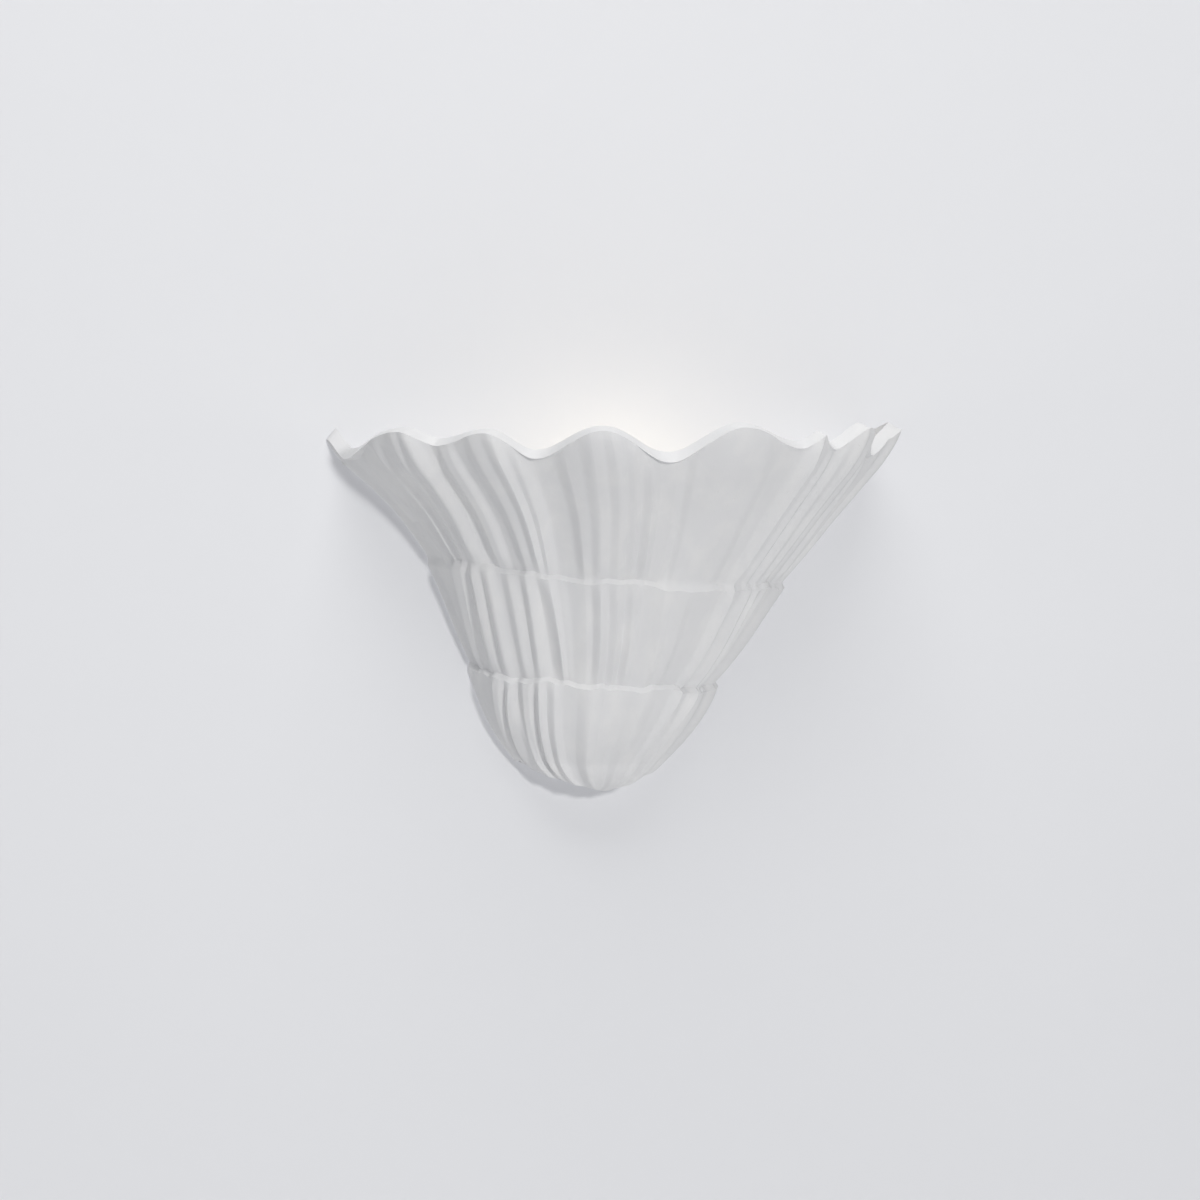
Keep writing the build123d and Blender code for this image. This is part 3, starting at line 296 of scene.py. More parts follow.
rubber = make_moulded("rubber", (0.025, 0.025, 0.027), 0.7, 0.08)
block_plastic = make_moulded("block_plastic", (0.80, 0.79, 0.73), 0.45)
holder_plastic = make_moulded("holder_plastic", (0.78, 0.77, 0.73), 0.32, 0.03)
insert_plastic = make_moulded("insert_plastic", (0.66, 0.62, 0.54), 0.6)
live_sleeve = make_moulded("live_sleeve", (0.20, 0.08, 0.035), 0.4)
neutral_sleeve = make_moulded("neutral_sleeve", (0.03, 0.13, 0.42), 0.4)
earth_sleeve = make_striped_sleeve("earth_sleeve", (0.10, 0.38, 0.07), (0.80, 0.68, 0.08))
print("seven mouldings")


# %% [markdown]
# Felt is pressed from loose fibres, so it has no gloss, a soft sheen at its edge, and a colour that
# changes from one fibre to the next. Fine noise, stretched along the disc, gives both.


# %% Felt
FELT_DARK = (0.58, 0.58, 0.56)
FELT_LIGHT = (0.76, 0.76, 0.74)


def make_felt():
    felt = Finish("felt", (0.68, 0.68, 0.66), 0.95, Specular_IOR_Level=0.1, Sheen_Weight=0.4)
    fibres = felt.noise(0.35, 4, (1.0, 0.4, 1.0))
    color = felt.mix(fibres.above(0.5, 0.4), FELT_DARK, FELT_LIGHT)
    felt.feed(felt.shader, "Base Color", color)
    felt.bump(fibres, 0.12)
    return felt


felt = make_felt()

# %% [markdown]
# ## The lit lamp
# The photograph shows no lamp, only its glow on the wall above the rim. The glass is opal, so it is
# white by itself and sends out a warm white light that is a little weaker towards the neck, where
# the filament or the chips are further away.

# %% Opal and black glass
GLOW = (1.0, 0.85, 0.60)
GLOW_NECK = (0.62, 0.52, 0.42)
GLOW_STRENGTH = 3.2
NECK_END = 0.002
BALL_START = 0.022


def make_opal():
    opal = Finish("opal_glass", (0.90, 0.89, 0.87), 0.22, Emission_Strength=GLOW_STRENGTH, Coat_Weight=0.3)
    height = opal.node("SeparateXYZ", {}, {"Vector": opal.place}, "Z")
    up = height.above((NECK_END + BALL_START) / 2, BALL_START - NECK_END)
    cloud = opal.noise(12, 2)
    opal.feed(opal.shader, "Emission Color", opal.mix(up, GLOW_NECK, GLOW))
    opal.feed(opal.shader, "Roughness", 0.18 + cloud * 0.08)
    return opal


opal = make_opal()
black_glass = make_moulded("black_glass", (0.012, 0.012, 0.014), 0.12, 0.01)
print("opal glows at", GLOW_STRENGTH)

# %% [markdown]
# ## Finishes for the pieces that stay as they are
# Turned, pressed and punched pieces already have their true shape, so each only gets its finish by
# the name of its slot in the parts list.

# %% Finish the construction's own pieces
finishes = {
    "plaster": plaster,
    "felt": felt,
    "zinc_steel": zinc,
    "brass": brass,
    "tinned_copper": tin,
    "rubber": rubber,
    "block_plastic": block_plastic,
    "holder_plastic": holder_plastic,
    "insert_plastic": insert_plastic,
    "live_sleeve": live_sleeve,
    "neutral_sleeve": neutral_sleeve,
    "earth_sleeve": earth_sleeve,
    "opal_glass": opal,
    "cap_metal": lamp_metal,
    "black_glass": black_glass,
}
for subpart in frame["record"]["subparts"]:
    finish_piece(nodes[subpart["node"]], finishes[subpart["material_slot"]])

# %% [markdown]
# ## A sheet bent to a formula
# The bowl's flutes swell, drift sideways and die away, and the lamp's thread is a screw. Neither comes
# well from pulling vertices by hand. So each is a flat grid, added as a primitive with the right
# number of rows and columns, whose vertices are then sent to the places that a formula gives.


# %% Bend a grid
def deselect():
    bpy.ops.object.select_all(action="DESELECT")


def edit(piece, *steps):
    """Runs edit-mode operators on the whole of a piece, each as (operator, keywords)."""
    deselect()
    bpy.context.view_layer.objects.active = piece
    piece.select_set(True)
    bpy.ops.object.mode_set(mode="EDIT")
    bpy.ops.mesh.select_all(action="SELECT")
    for operator, keywords in steps:
        operator(**keywords)
    bpy.ops.object.mode_set(mode="OBJECT")


def bent_grid(name, columns, rows, place):
    """A grid of columns by rows quads, where place(column, row) gives each vertex, in millimetres."""
    deselect()
    bpy.ops.mesh.primitive_grid_add(x_subdivisions=columns, y_subdivisions=rows, size=1.0)
    piece = bpy.context.object
    piece.name = piece.data.name = name
    flat = []
    for row in range(rows + 1):
        for column in range(columns + 1):
            flat.extend(MM * v for v in place(column, row))
    piece.data.vertices.foreach_set("co", flat)
    piece.data.update()
    return piece


def tidy_mesh(piece, smooth_angle):
    """Merges seams and poles, points every face outwards and shades it smooth up to an angle."""
    merge = (bpy.ops.mesh.remove_doubles, {"threshold": 0.01 * MM})
    outwards = (bpy.ops.mesh.normals_make_consistent, {"inside": False})
    edit(piece, merge, outwards)
    deselect()
    piece.select_set(True)
    bpy.context.view_layer.objects.active = piece
    bpy.ops.object.shade_smooth_by_angle(angle=math.radians(smooth_angle))
    print(piece.name, len(piece.data.polygons), "faces")


# %% [markdown]
# ## The bowl's profile
# In plan the bowl is half an ellipse whose flat side lies against the wall. These tables give its
# half width, its lean to the right and its tilt at a few heights, tier by tier. Each lower tier is
# `TIER_STEP` wider than the one above it where they meet, as if three shells stood in each other.

# %% The bowl's tiers
DEPTH_RATIO = 0.82
SHELL_WALL = 7.0
WALL_GAP = 1.0
TIER_STEP = 4.0
FOOT_TIER = [
    (-139, 12, -16, 0.0),
    (-134, 29, -16.5, 0.0),
    (-126, 43.5, -17, -0.01),
    (-113, 57, -17, -0.03),
    (-97, 69, -16.5, -0.05),
    (-81, 77.5, -16, -0.07),
    (-70, 82, -15.9, -0.08),
]
MIDDLE_TIER = [
    (-70, 82 - TIER_STEP, -15.9, -0.08),
    (-44, 94.6, -11.4, -0.075),
    (-20, 107.9, -8.1, -0.068),
    (-3, 118, -5.8, -0.06),
]
RIM_TIER = [
    (-3, 118 - TIER_STEP, -5.8, -0.06),
    (19, 131, -4, -0.05),
    (36, 145, -3, -0.035),
    (53, 161, -3, -0.02),
    (68, 175.2, -3.3, -0.005),
    (84, 185.5, -4.3, 0.0),
    (104, 192, -5.3, 0.0),
]
CAVITY = [(-128, 40.5, -16, 0.0)] + FOOT_TIER[3:-1] + MIDDLE_TIER[:-1] + RIM_TIER
FORWARD = [(-139, 12), (-130, 5), (-120, 0)]
FOOT_Z, WAIST_Z, SHOULDER_Z = FOOT_TIER[0][0], MIDDLE_TIER[0][0], RIM_TIER[0][0]
RIM_Z = 84


def smooth_between(table, key, column):
    """A column of a table at a key, along a smooth curve through its entries."""
    rows = [(entry[0], entry[column]) for entry in table]
    key = min(max(key, rows[0][0]), rows[-1][0])
    index = max(i for i, (k, _) in enumerate(rows[:-1]) if k <= key)
    (k0, v0), (k1, v1) = rows[index], rows[index + 1]
    before = rows[index - 1] if index else (2 * k0 - k1, 2 * v0 - v1)
    after = rows[index + 2] if index + 2 < len(rows) else (2 * k1 - k0, 2 * v1 - v0)
    slope0 = (v1 - before[1]) / (k1 - before[0]) * (k1 - k0)
    slope1 = (after[1] - v0) / (after[0] - k0) * (k1 - k0)
    s = (key - k0) / (k1 - k0)
    low = (2 * s**3 - 3 * s**2 + 1) * v0 + (s**3 - 2 * s**2 + s) * slope0
    return low + (3 * s**2 - 2 * s**3) * v1 + (s**3 - s**2) * slope1


def straight_between(table, key):
    """The value in a table of (key, value) pairs, in straight runs."""
    for (k0, v0), (k1, v1) in zip(table, table[1:]):
        if key <= k1:
            return v0 + (v1 - v0) * (key - k0) / (k1 - k0)
    return table[-1][1]


def wave_between(table, key):
    """The same in half cosine waves."""
    for (k0, v0), (k1, v1) in zip(table, table[1:]):
        if key <= k1:
            return v0 + (v1 - v0) * (1 - math.cos(math.pi * (key - k0) / (k1 - k0))) / 2
    return table[-1][1]


print("the bowl is", 2 * smooth_between(RIM_TIER, RIM_Z, 1), "mm wide at its rim")

# %% [markdown]
# ## The lobes and the flutes
# The rim rises and dips in uneven lobes, with one sharp corner among them. `LOBES` is how far each
# one swells out or in, and `RIM` and `LIP` are its height and how much higher its inner edge stands.
# Under the lobes run finer flutes, and they aren't regular either. The three `*_FLUTES` tables are the
# fine relief of each tier, as the angle round the bowl and how far the plaster stands out there, and
# the `*_FADE` tables let that relief die away at a tier's ends. Flutes also lean as they run down, so
# the `*_DRIFT` tables say at which angle a flute that starts at one angle ends at the foot of its
# tier, and the `*_LINE` tables carry the ledges and the foot up or down round the bowl. The angles
# and the rim's heights were fitted to places read from the photograph.

# %% Lobes, flutes and drift
LOBE_ANGLES = [0, 5, 31, 37, 49, 58, 70.7, 84.3, 97, 113.5, 118, 123.5, 131, 144, 158, 180]
RIM_HEIGHTS = [82, 70, 88.5, 79.5, 88, 72, 89.5, 69.5, 91, 77, 84, 76, 90, 71, 88, 80]
LIP_RISES = [8, 8, 3, 5.5, 2.8, 6.5, 3.2, 7.5, 3, 6, 3, 6, 3.5, 8, 5, 6]
LOBE_SIZES = [0, -1, 1, -0.6, 0.8, -1, 1, -1, 1, -0.5, 0.1, -0.5, 0.8, -1, 0.9, 0]
LOBES = list(zip(LOBE_ANGLES, LOBE_SIZES))
RIM = list(zip(LOBE_ANGLES, RIM_HEIGHTS))
LIP = list(zip(LOBE_ANGLES, LIP_RISES))
LOBE_SWELL = 6.0
FLUTE_DEPTH = 2.6
TIER_FADE = [(0, 0.4), (0.12, 1.0), (0.88, 1.0), (1.0, 0.5)]
RIM_FADE = [(0, 0.4), (0.12, 1.0), (0.8, 1.0), (0.93, 0.7), (1.0, 0.3)]
SWELL = [(FOOT_Z, 0.25), (WAIST_Z, 0.3), (SHOULDER_Z, 0.35), (55, 0.6), (RIM_Z, 1.0)]
RIM_FLUTES = [
    (0, 0), (8.9, -0.9), (12.1, 1), (14.7, 0.5), (19.2, -0.9), (21.4, 0.8), (24.5, -0.6),
    (26.5, -0.8), (28.9, 0.5), (30.4, -0.1), (32.6, 1.2), (34.6, -0.6), (35.6, -0.7), (37.9, 1.3),
    (39.5, 1.1), (41.5, -0.7), (43.5, -0.8), (45.5, 0.4), (48, 0), (50.3, 1.5), (52.2, 0.2),
    (53.8, 0.9), (56.3, -0.8), (60.8, -0.8), (63.1, 0.4), (66.1, 0), (68.3, 0.8), (70.6, 0.4),
    (72.6, 1.3), (74.4, 0.3), (76.3, 1.1), (77.9, 0.3), (80.2, 1.6), (82.2, 0.4), (85.4, 0.2),
    (87.9, -1), (89.3, -0.6), (91.2, -0.8), (99.9, -0.3), (103.3, 0.1), (106.4, -0.3), (112.2, 0),
    (117.3, 1.5), (118.9, -0.7), (121.3, -0.5), (123, 0.5), (124.2, -0.2), (126, 0.8), (128, 0),
    (130, 0.6), (132, -0.3), (134.5, 0.6), (137, -0.3), (139.5, 0.4), (142, -0.2), (144, 0.9),
    (145.6, 0.1), (149.8, 0.2), (152.2, -0.8), (154.7, 0.5), (160.4, -0.2), (165.3, 0.6),
    (171.8, -0.3), (180, 0),
]
MIDDLE_FLUTES = [
    (0, 0), (9.1, -0.6), (15.3, -1.1), (18.6, 1.1), (23.2, 0.5), (25.8, -0.8), (28.1, 0.6),
    (30.9, -0.6), (34.1, 0.9), (37.9, 0.3), (40.9, 0.9), (44.7, -0.5), (47.3, 0.6), (50.5, -0.8),
    (54.5, 1.4), (57, 0.2), (60.5, -0.4), (65.5, -0.3), (67.8, -0.6), (70.3, 0.7), (73, -0.4),
    (75.7, 0.8), (78.4, -0.3), (81, 0.8), (84, 0), (88.5, 0.1), (91, 0.4), (93.7, 0), (98.6, 0.4),
    (101.3, 0), (107.8, 0.1), (112.1, 0.2), (116.8, 1.4), (118.6, -0.6), (121.8, -0.5),
    (125.2, 0.9), (126.7, 0.2), (128.2, 0.8), (130.5, -0.3), (133, 0.5), (136, -0.3), (139, 0.4),
    (143.4, -0.5), (152.5, 0.5), (163.5, -0.3), (172.7, 0.3), (180, 0),
]
FOOT_FLUTES = [
    (0, 0), (7.4, 0.4), (14.8, -0.3), (20.8, -1), (25.2, 1), (28.2, 0.6), (30.7, -0.7), (33.9, 0.5),
    (37.2, -0.6), (40.7, 0.8), (43.4, 0.5), (46.5, -0.7), (49.3, 0.7), (52.5, -0.6), (56.2, 0.9),
    (60.5, 0.2), (67, -0.4), (73.5, 0.3), (78.9, -0.2), (85.5, 0.4), (92, -0.1), (98.5, 0.3),
    (105, -0.1), (111.5, 0.1), (117.8, 1.2), (119.9, -0.5), (124.1, -0.3), (129.3, 1),
    (131.1, -0.4), (137.6, 0.2), (147.7, -0.3), (159.6, 0.3), (171.5, -0.2), (180, 0),
]
RIM_DRIFT = [
    (0, 0), (10.5, 12), (20, 19), (28, 23.5), (31.5, 28), (36.5, 36), (44.5, 46.5), (50, 51.5),
    (54, 54.5), (62, 64.5), (67.5, 69), (73.5, 76.5), (80.5, 83.5), (87, 90.5), (105, 109),
    (117.5, 116.5), (124.5, 125.5), (144.5, 147.5), (153, 152.5), (180, 180),
]
MIDDLE_DRIFT = [
    (0, 0), (16.5, 8.5), (24, 14), (27, 20), (30, 27), (32.5, 30), (36.5, 36.5), (46.5, 48),
    (53, 58.5), (66.5, 70.5), (74.5, 80), (80, 86), (90.5, 97), (117, 119), (125.5, 130), (180, 180),
]
FOOT_DRIFT = [
    (0, 0), (11.5, 6), (23.5, 9.5), (31.5, 14.5), (34.5, 19), (38.5, 30), (44.5, 36), (48, 39.5),
    (54, 48.5), (70, 66), (90, 84), (118, 104.5), (129.5, 116.5), (150, 140), (180, 180),
]
FOOT_LINE = [(0, 19), (12, 17), (30, 11), (50, 5.5), (75, 1), (95, 0), (130, 3), (155, 10), (180, 19)]
FLOOR_LINE = [(0, -111), (30, -118), (90, -127), (150, -118), (180, -111)]
WAIST_LINE = [(0, 2.5), (30, 0), (60, -1.0), (150, -1.0), (180, -0.5)]
SHOULDER_LINE = [(0, 6), (20, 4), (55, -0.3), (95, -3.8), (120, -2.5), (160, -1.5), (180, -1)]
CORNER_ANGLE = 118.0
CORNER_RISE = 2.0
CORNER_REACH = 2.0
CORNER_POINT = 1.3
WANDER = [(0.9, 7, 1.0), (0.7, 13, 2.1), (0.45, 29, 0.7), (0.3, 47, 1.3)]
print(len(RIM_FLUTES) + len(MIDDLE_FLUTES) + len(FOOT_FLUTES), "turns in the flutes' relief")

# %% [markdown]
# ## Where each point of the outer face lies
# A point is found by the angle of its flute at the rim and by its tier's own height. The station
# gives the ellipse, the lobes swell it, the drift turns it and the fine relief moves it in or out.
# The wavy ledges come from a small wander of the height where two tiers meet.


# %% The outer face
def outline_point(table, height, angle, inset):
    """The ellipse with its lobes at a height, set in by inset: x and y in millimetres."""
    half = smooth_between(table, height, 1)
    lean = smooth_between(table, height, 2)
    t = math.radians(angle)
    depth = half * DEPTH_RATIO
    out_x, out_y = -math.cos(t) * depth, -math.sin(t) * half
    size = math.hypot(out_x, out_y)
    swell = LOBE_SWELL * straight_between(SWELL, height) * wave_between(LOBES, angle) - inset
    x = lean - half * math.cos(t) + swell * out_x / size
    y = -depth * math.sin(t) + swell * out_y / size - WALL_GAP
    return x, y - straight_between(FORWARD, height)


def bowl_point(table, height, angle, inset):
    """The same with its height, on the station's tilted plane."""
    x, y = outline_point(table, height, angle, inset)
    return x, min(y, -WALL_GAP), height + smooth_between(table, height, 3) * x


def wander(angle, seed):
    """The small ups and downs of a ledge, in millimetres."""
    t = math.radians(angle)
    return sum(size * math.sin(waves * t + shift * seed) for size, waves, shift in WANDER)


def rim_height(angle):
    """The rim's height at an angle, with the one sharp corner between two lobes."""
    corner = max(0.0, 1 - abs(angle - CORNER_ANGLE) / CORNER_REACH)
    return wave_between(RIM, angle) + CORNER_RISE * corner**CORNER_POINT


# %% [markdown]
# ## From the foot, over the lip, down to the cavity's floor
# One row of the grid after another climbs the outer face, crosses the lip and goes down inside, so
# the casting is one closed skin. `ROWS` lists them: the kind of row, how far along its tier it is,
# and how far it is set in. A ledge is two rows close together, `LEDGE` below and above the middle of
# the ledge, so the plaster slopes back by one `TIER_STEP` there.

# %% Rows of the casting
COLUMN_STEP = 0.5
NEAREST_COLUMNS = 0.12
FOOT_ROWS, MIDDLE_ROWS, RIM_ROWS, LIP_ROWS, CAVITY_ROWS = 34, 32, 44, 6, 34
LEDGE = 1.5
LIP_ROUND = 0.8
CASTING_CREASE = 38


def casting_rows():
    """The rows from the back edge under the foot to the cavity's floor: kind, share and inset."""
    rows = [("back", 0.0, 0.0)]
    rows += [("foot", i / FOOT_ROWS, 0.0) for i in range(FOOT_ROWS + 1)]
    rows += [("middle", i / MIDDLE_ROWS, 0.0) for i in range(MIDDLE_ROWS + 1)]
    rows += [("rim", i / RIM_ROWS, 0.0) for i in range(RIM_ROWS + 1)]
    rows += [("lip", i / LIP_ROWS, 0.0) for i in range(1, LIP_ROWS + 1)]
    rows += [("cavity", i / CAVITY_ROWS, SHELL_WALL) for i in range(1, CAVITY_ROWS + 1)]
    return rows + [("floor", 1.0, SHELL_WALL)]


def backwards(table, value):
    """The key at which a rising table holds the value."""
    return straight_between([(v, k) for k, v in table], value)


def column_angles():
    """Angles at the rim, with a column on every crease of every tier and even steps between them."""
    marks = [angle for angle, _ in RIM_FLUTES]
    marks += [backwards(RIM_DRIFT, angle) for angle, _ in MIDDLE_FLUTES]
    marks += [backwards(RIM_DRIFT, backwards(MIDDLE_DRIFT, angle)) for angle, _ in FOOT_FLUTES]
    angles = [0.0]
    for mark in sorted(marks):
        last = angles[-1]
        if mark - last > NEAREST_COLUMNS:
            steps = math.ceil((mark - last) / COLUMN_STEP)
            angles += [last + (mark - last) * (i + 1) / steps for i in range(steps)]
    return angles[:-1] + [180.0]


def flute_angles(rim_angle):
    """The angles of one flute at the rim and at the foot of each tier."""
    shoulder = straight_between(RIM_DRIFT, rim_angle)
    waist = straight_between(MIDDLE_DRIFT, shoulder)
    return rim_angle, shoulder, waist, straight_between(FOOT_DRIFT, waist)


def relief(flutes, angle):
    """How far a tier's flutes stand out at an angle: half crisp, half rounded."""
    return (straight_between(flutes, angle) + wave_between(flutes, angle)) / 2


def tier_point(table, flutes, low, high, share, top_angle, foot_angle):
    """A point of one tier's outer face, with its fine relief."""
    height = low + (high - low) * share
    angle = foot_angle + (top_angle - foot_angle) * share
    fade = RIM_FADE if table is RIM_TIER else TIER_FADE
    depth = FLUTE_DEPTH * straight_between(fade, share)
    return bowl_point(table, height, angle, -depth * relief(flutes, top_angle))


def casting_point(column, row):
    """Where the casting's vertex in a column and a row lies, in millimetres."""
    kind, share, inset = ROWS[row]
    rim_angle, shoulder, waist, foot = flute_angles(COLUMN_ANGLES[column])
    waist_z = WAIST_Z + wander(waist, 1.0) + straight_between(WAIST_LINE, waist)
    shoulder_z = SHOULDER_Z + wander(shoulder, 4.0) + straight_between(SHOULDER_LINE, shoulder)
    rim_z = rim_height(rim_angle)
    foot_z = FOOT_Z + straight_between(FOOT_LINE, foot)
    if kind == "back":
        x, _, _ = tier_point(FOOT_TIER, FOOT_FLUTES, foot_z, waist_z, 0.0, waist, foot)
        return x, -WALL_GAP, FOOT_Z + FOOT_LINE[0][1]
    if kind == "foot":
        return tier_point(FOOT_TIER, FOOT_FLUTES, foot_z, waist_z - LEDGE, share, waist, foot)
    if kind == "middle":
        low, high = waist_z + LEDGE, shoulder_z - LEDGE
        return tier_point(MIDDLE_TIER, MIDDLE_FLUTES, low, high, share, shoulder, waist)
    if kind == "rim":
        low = shoulder_z + LEDGE
        return tier_point(RIM_TIER, RIM_FLUTES, low, rim_z, share, rim_angle, shoulder)
    if kind == "lip":
        outer = -RIM_FADE[-1][1] * FLUTE_DEPTH * relief(RIM_FLUTES, rim_angle)
        round_off = LIP_ROUND * (1 - math.sin(math.pi * share))
        depth = outer + (SHELL_WALL - outer) * share
        x, y, _ = bowl_point(RIM_TIER, RIM_Z, rim_angle, depth)
        rise = wave_between(LIP, rim_angle) * (depth - outer) / (SHELL_WALL - outer)
        return x, y, rim_z + rise - 0.4 * round_off
    if kind == "cavity":
        top = rim_z + wave_between(LIP, rim_angle) - LIP_ROUND
        height = top + (straight_between(FLOOR_LINE, waist) - top) * share
        return bowl_point(CAVITY, height, rim_angle + (waist - rim_angle) * share, inset)
    x, _, _ = bowl_point(CAVITY, straight_between(FLOOR_LINE, waist), waist, inset)
    return x, -WALL_GAP, FLOOR_LINE[0][1]


ROWS = casting_rows()
COLUMN_ANGLES = column_angles()
casting = bent_grid("fluted_shell", len(COLUMN_ANGLES) - 1, len(ROWS) - 1, casting_point)
print("the casting has", len(ROWS) - 1, "rows of", len(COLUMN_ANGLES) - 1, "faces")

# %% [markdown]
# The grid's four edges now all lie in the plane of the back edge, and together they outline the U of
# plaster that stands against the wall. Filling that loop with one face closes the casting.


# %% Close the casting's back edge
def close_open_edge(piece):
    deselect()
    bpy.context.view_layer.objects.active = piece
    piece.select_set(True)
    bpy.ops.object.mode_set(mode="EDIT")
    bpy.ops.mesh.select_all(action="SELECT")
    bpy.ops.mesh.remove_doubles(threshold=0.01 * MM)
    bpy.ops.mesh.select_all(action="DESELECT")
    bpy.ops.mesh.select_mode(type="EDGE")
    bpy.ops.mesh.select_non_manifold(extend=False, use_wire=False, use_multi_face=False, use_verts=False)
    bpy.ops.mesh.edge_face_add()
    bpy.ops.mesh.quads_convert_to_tris()
    bpy.ops.object.mode_set(mode="OBJECT")


close_open_edge(casting)
tidy_mesh(casting, CASTING_CREASE)

# %% [markdown]
# ## The lugs
# Inside, four screws hold the hanging bar to two square lugs of plaster. Each lug is a block whose
# outer end follows the wall's middle, with two round holes for the threaded inserts. A Boolean
# modifier makes block and wall one solid.

# %% Lugs for the hanging bar
LUG_INNER_X = 99.2
LUG_FRONT_Y, LUG_BACK_Y = -29.0, -9.0
LUG_LOW_Z, LUG_HIGH_Z = 32.3, 62.3
INSERT_X = (108.2, 124.2)
INSERT_Z = 47.3
INSERT_HOLE = 3.55
INSERT_DEPTH = 14.0
LUG_SINK = 0.7
HALVINGS = 24
HOLE_RUNOUT = 2.0


def wall_x(side, y, z):
    """How far out the middle of the bowl's wall lies at a depth and a height."""
    low, high = (0.0, 60.0) if side < 0 else (180.0, 120.0)
    for _ in range(HALVINGS):
        middle = (low + high) / 2
        if outline_point(CAVITY, z, middle, LUG_SINK * SHELL_WALL)[1] > y:
            low = middle
        else:
            high = middle
    return outline_point(CAVITY, z, low, LUG_SINK * SHELL_WALL)[0]


def combine(piece, other, operation):
    """Applies a Boolean and removes the other piece."""
    modifier = piece.modifiers.new("combine", "BOOLEAN")
    modifier.operation = operation
    modifier.solver = "EXACT"
    modifier.object = other
    deselect()
    bpy.context.view_layer.objects.active = piece
    bpy.ops.object.modifier_apply(modifier=modifier.name)
    bpy.data.objects.remove(other)


def make_lug(side):
    """A cube whose corners are sent to the lug's, with its two holes cut."""
    deselect()
    bpy.ops.mesh.primitive_cube_add(size=1.0)
    lug = bpy.context.object
    for vertex in lug.data.vertices:
        y = LUG_BACK_Y if vertex.co.y > 0 else LUG_FRONT_Y
        z = LUG_HIGH_Z if vertex.co.z > 0 else LUG_LOW_Z
        outer = (vertex.co.x > 0) == (side > 0)
        x = wall_x(side, y, z) if outer else side * LUG_INNER_X
        vertex.co = Vector((x, y, z)) * MM
    for x in INSERT_X:
        middle = Vector((side * x, LUG_BACK_Y + (HOLE_RUNOUT - INSERT_DEPTH) / 2, INSERT_Z)) * MM
        deselect()
        bpy.ops.mesh.primitive_cylinder_add(
            vertices=48,
            radius=INSERT_HOLE * MM,
            depth=(INSERT_DEPTH + HOLE_RUNOUT) * MM,
            location=middle,
            rotation=(math.pi / 2, 0, 0),
        )
        combine(lug, bpy.context.object, "DIFFERENCE")
    return lug


for side in (-1, 1):
    combine(casting, make_lug(side), "UNION")
tidy_mesh(casting, CASTING_CREASE)
finish_piece(casting, plaster)
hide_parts("shell")
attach(casting, "shell")

# %% [markdown]
# ## The lamp's thread
# The lamp screws in, so its cap and the brass shell round it both have the small lamp thread, rolled
# from thin sheet: it shows on both sides of the metal. The thread climbs 2.82 mm a turn. Both pieces
# take the same wave, so the cap's thread follows the shell's as it turns and rises. Where a thread
# dies away at its end the two still touch, and cross by about a quarter of a millimetre.

# %% The rolled thread
LAMP_Y = -50.0
THREAD_PITCH = 2.82
THREAD_DEPTH = 0.75
THREAD_RADIUS = 6.9
THREAD_GAP = 0.15
THREAD_START = -14.2
TURN_COLUMNS = 72
THREAD_STEPS = 64
THREAD_CREASE = 50


def thread_radius(turn, z, low, high):
    """The radius of the lamp's thread. It fades out within a millimetre of its two ends."""
    wave = (1 - math.cos(2 * math.pi * ((z - THREAD_START) / THREAD_PITCH - turn))) / 2
    fade = min(1.0, max(0.0, z - low), max(0.0, high - z))
    return THREAD_RADIUS - THREAD_DEPTH * wave * fade


def even_heights(low, high):
    """The heights of a threaded stretch, from low to high."""
    return [low + (high - low) * step / THREAD_STEPS for step in range(THREAD_STEPS + 1)]


def turned_grid(name, profile):
    """A closed turned piece. profile(turn) gives the (radius, z) points of its section there."""
    sections = [profile(column / TURN_COLUMNS) for column in range(TURN_COLUMNS + 1)]

    def place(column, row):
        radius, z = sections[column][row]
        angle = 2 * math.pi * column / TURN_COLUMNS
        return radius * math.cos(angle), LAMP_Y + radius * math.sin(angle), z

    piece = bent_grid(name, TURN_COLUMNS, len(sections[0]) - 1, place)
    tidy_mesh(piece, THREAD_CREASE)
    return piece


# %% [markdown]
# The cap is pressed from one piece of sheet: a flat foot with a rounded edge, the thread, and a plain
# neck that grips the glass. Its section goes up the outside and down the inside, and the ends meet on
# the axis, so the turned grid closes by itself.


# %% The lamp's cap
CAP_BOTTOM, CAP_TOP = -16.0, 3.0
CAP_THREAD_BOTTOM, CAP_THREAD_TOP = CAP_BOTTOM + 1, -1.0
CAP_WALL = 0.4
CAP_EDGE = 0.35
CAP_FOOT_RADIUS, CAP_EDGE_RADIUS, CAP_FLOOR_RADIUS = (THREAD_RADIUS - inset for inset in (1, 0.45, 1.2))
CAP_INSIDE_BOTTOM = CAP_BOTTOM + 1.2


def cap_profile(turn):
    """The cap's section at a turn: foot, outside, inside and floor."""
    heights = even_heights(CAP_THREAD_BOTTOM, CAP_TOP)
    outer = [(thread_radius(turn, z, CAP_THREAD_BOTTOM, CAP_THREAD_TOP), z) for z in heights]
    inner = [(radius - CAP_WALL, max(z, CAP_INSIDE_BOTTOM)) for radius, z in reversed(outer)]
    foot = [(0.0, CAP_BOTTOM), (CAP_FOOT_RADIUS, CAP_BOTTOM), (CAP_EDGE_RADIUS, CAP_BOTTOM + CAP_EDGE)]
    floor_z = CAP_BOTTOM + CAP_WALL
    return foot + outer + inner + [(CAP_FLOOR_RADIUS, floor_z), (0.0, floor_z)]


cap = turned_grid("threaded_cap", cap_profile)
finish_piece(cap, lamp_metal)
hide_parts("bulb_cap")
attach(cap, "bulb")

